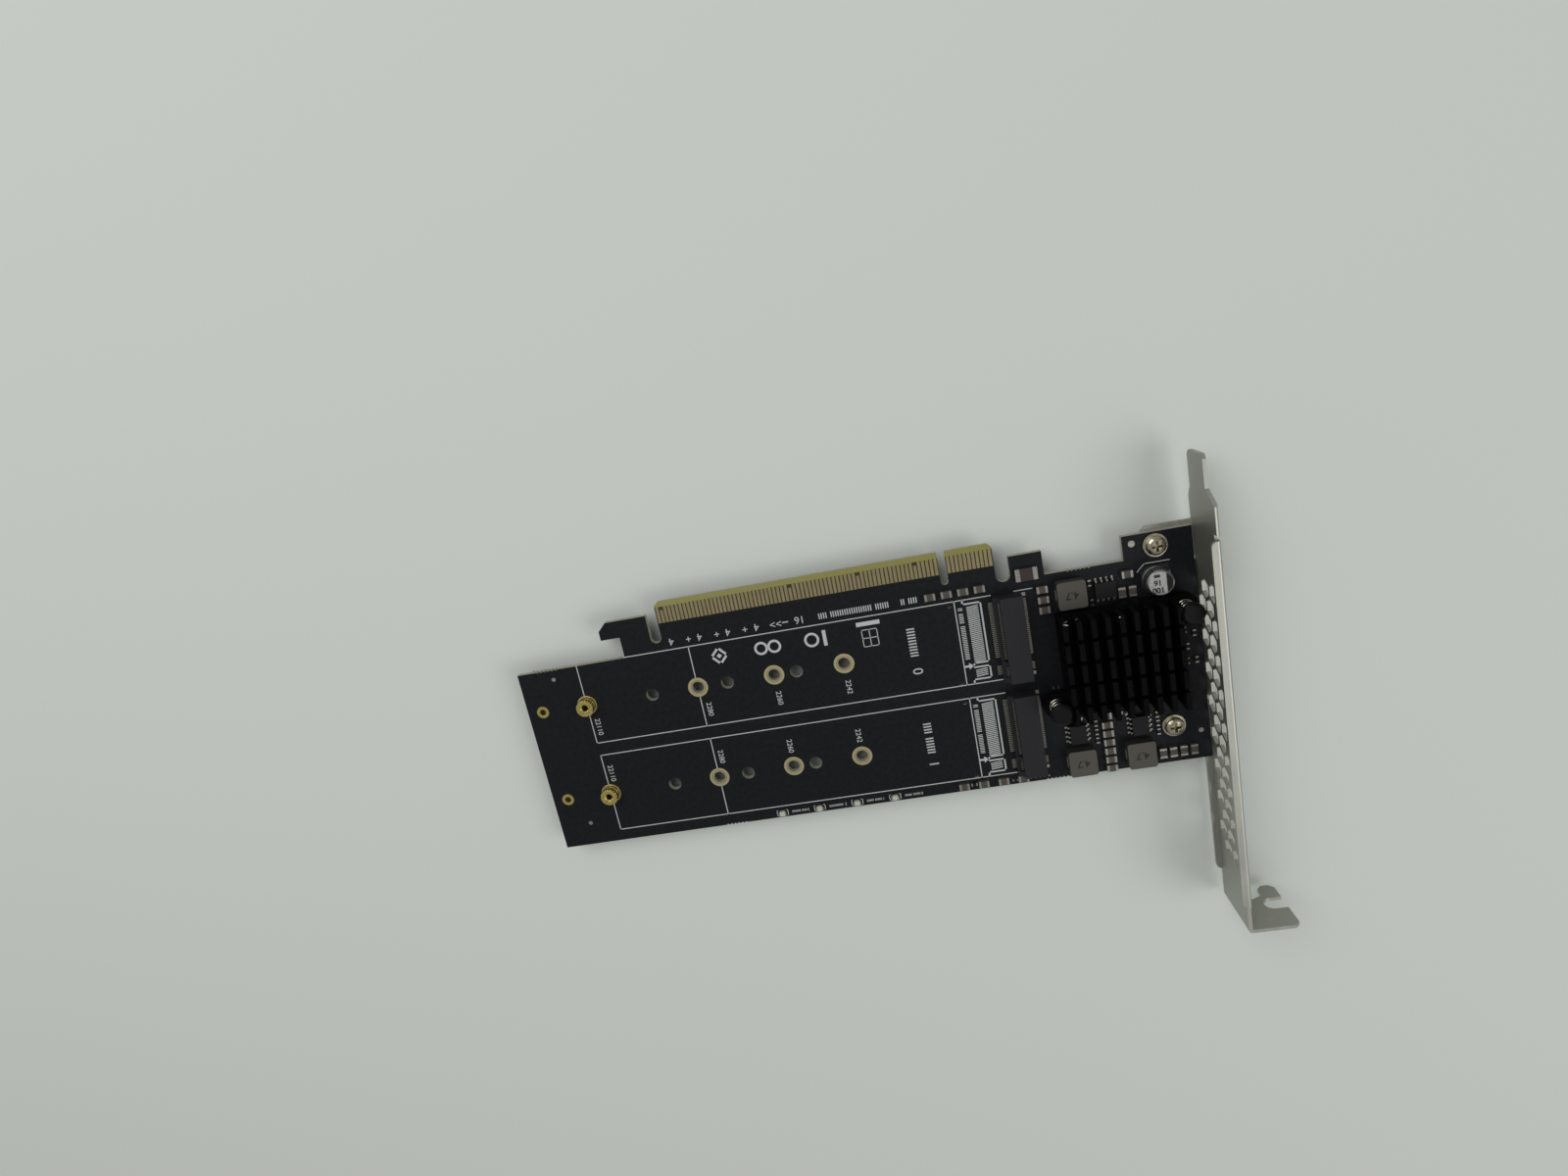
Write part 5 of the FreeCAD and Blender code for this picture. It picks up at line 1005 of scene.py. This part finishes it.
# Lens over phosphor: smooth, pale and slightly yellow while the light is off.
lens, tree, shader = new_material("clear_lens_over_phosphor", Roughness=0.25)
where = add(tree, "ShaderNodeTexCoord").outputs["Object"]
milky = add(tree, "ShaderNodeTexNoise", {"Vector": where, "Scale": apart(MILKY_SPOT)})
tone = add(tree, "ShaderNodeMix", {0: milky.outputs[0], 6: linear(LENS_DARK), 7: linear(LENS_PALE)},
           data_type="RGBA")
tree.links.new(tone.outputs[2], shader.inputs["Base Color"])
dress(lens, "status_lights")

# Fuse polymer: dark red-brown, swirled by the moulding.
polymer, tree, shader = new_material("moulded_red_brown_polymer", Roughness=0.4)
where = add(tree, "ShaderNodeTexCoord").outputs["Object"]
swirl = add(tree, "ShaderNodeTexNoise", {"Vector": where, "Scale": apart(SWIRL), "Detail": 3.0})
tone = add(tree, "ShaderNodeMix", {0: swirl.outputs[0], 6: linear(FUSE_DARK), 7: linear(FUSE_RED)},
           data_type="RGBA")
tree.links.new(tone.outputs[2], shader.inputs["Base Color"])
dress(polymer, "resettable_fuse")

# ------------------------------------------------------------ floor
# A plain pale sheet of paper, large enough to fill the view, just under the
# lowest point of the card.
FLOOR_GREY = "#bcc0bb"
FLOOR_SIZE = 3.0
FLOOR_GAP = 0.1
lowest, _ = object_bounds()
floor_mesh = bmesh.new()
bmesh.ops.create_grid(floor_mesh, x_segments=1, y_segments=1, size=FLOOR_SIZE)
data = bpy.data.meshes.new("floor")
floor_mesh.to_mesh(data)
floor_mesh.free()
floor = bpy.data.objects.new("floor", data)
bpy.context.scene.collection.objects.link(floor)
floor.location = (0, 0, lowest[2] - FLOOR_GAP * MM)
paper, tree, shader = new_material("pale_paper", Roughness=0.9)
shader.inputs["Base Color"].default_value = linear(FLOOR_GREY)
data.materials.append(paper)

# ------------------------------------------------------------ lights
# Soft, even light from a pale room and two large lamps above the card. The
# room looks brighter to the camera than it lights the card.
ROOM_WHITE = "#f4f6f5"
WORLD_LEVEL = 0.42
HORIZON_LEVEL = 0.6
LAMP_AIM = Vector((-0.02, -0.03, 0))
# Each lamp's place and width in metres, and its power in watts.
LAMPS = [((-0.35, 0.45, 0.75), 0.7, 5.5), ((0.55, -0.25, 0.6), 0.5, 2.4)]
world = bpy.data.worlds.new("pale_room")
bpy.context.scene.world = world
world.use_nodes = True
room = world.node_tree
background = room.nodes["Background"]
background.inputs["Color"].default_value = linear(ROOM_WHITE)
seen = add(room, "ShaderNodeLightPath").outputs["Is Camera Ray"]
level = add(room, "ShaderNodeMapRange", {0: seen, 3: WORLD_LEVEL, 4: HORIZON_LEVEL})
room.links.new(level.outputs[0], background.inputs["Strength"])
for place, size, power in LAMPS:
    lamp = bpy.data.lights.new("softbox", "AREA")
    lamp.size = size
    lamp.energy = power
    holder = bpy.data.objects.new("softbox", lamp)
    holder.location = place
    holder.rotation_euler = (LAMP_AIM - Vector(place)).to_track_quat("-Z", "Y").to_euler()
    bpy.context.scene.collection.objects.link(holder)
bpy.context.scene.view_settings.view_transform = "Standard"

# ------------------------------------------------------------ camera
# A wide lens close above the card, turned a little about its own axis. Its
# right and up directions are given on the card.
CAMERA_PLACE = (-0.008928, 0.054322, 0.219148)
CAMERA_RIGHT = Vector((0.97647309, -0.19946436, -0.08194071))
CAMERA_UP = Vector((0.17127573, 0.94827556, -0.26727904))
LENS = 21.235
SENSOR = 36.0
NEAREST = 0.01
lens_data = bpy.data.cameras.new("camera")
lens_data.lens = LENS
lens_data.sensor_width = SENSOR
lens_data.clip_start = NEAREST
camera = bpy.data.objects.new("camera", lens_data)
turn = Matrix((CAMERA_RIGHT, CAMERA_UP, CAMERA_RIGHT.cross(CAMERA_UP))).transposed().to_4x4()
camera.matrix_world = Matrix.Translation(CAMERA_PLACE) @ turn
bpy.context.scene.collection.objects.link(camera)
bpy.context.scene.camera = camera
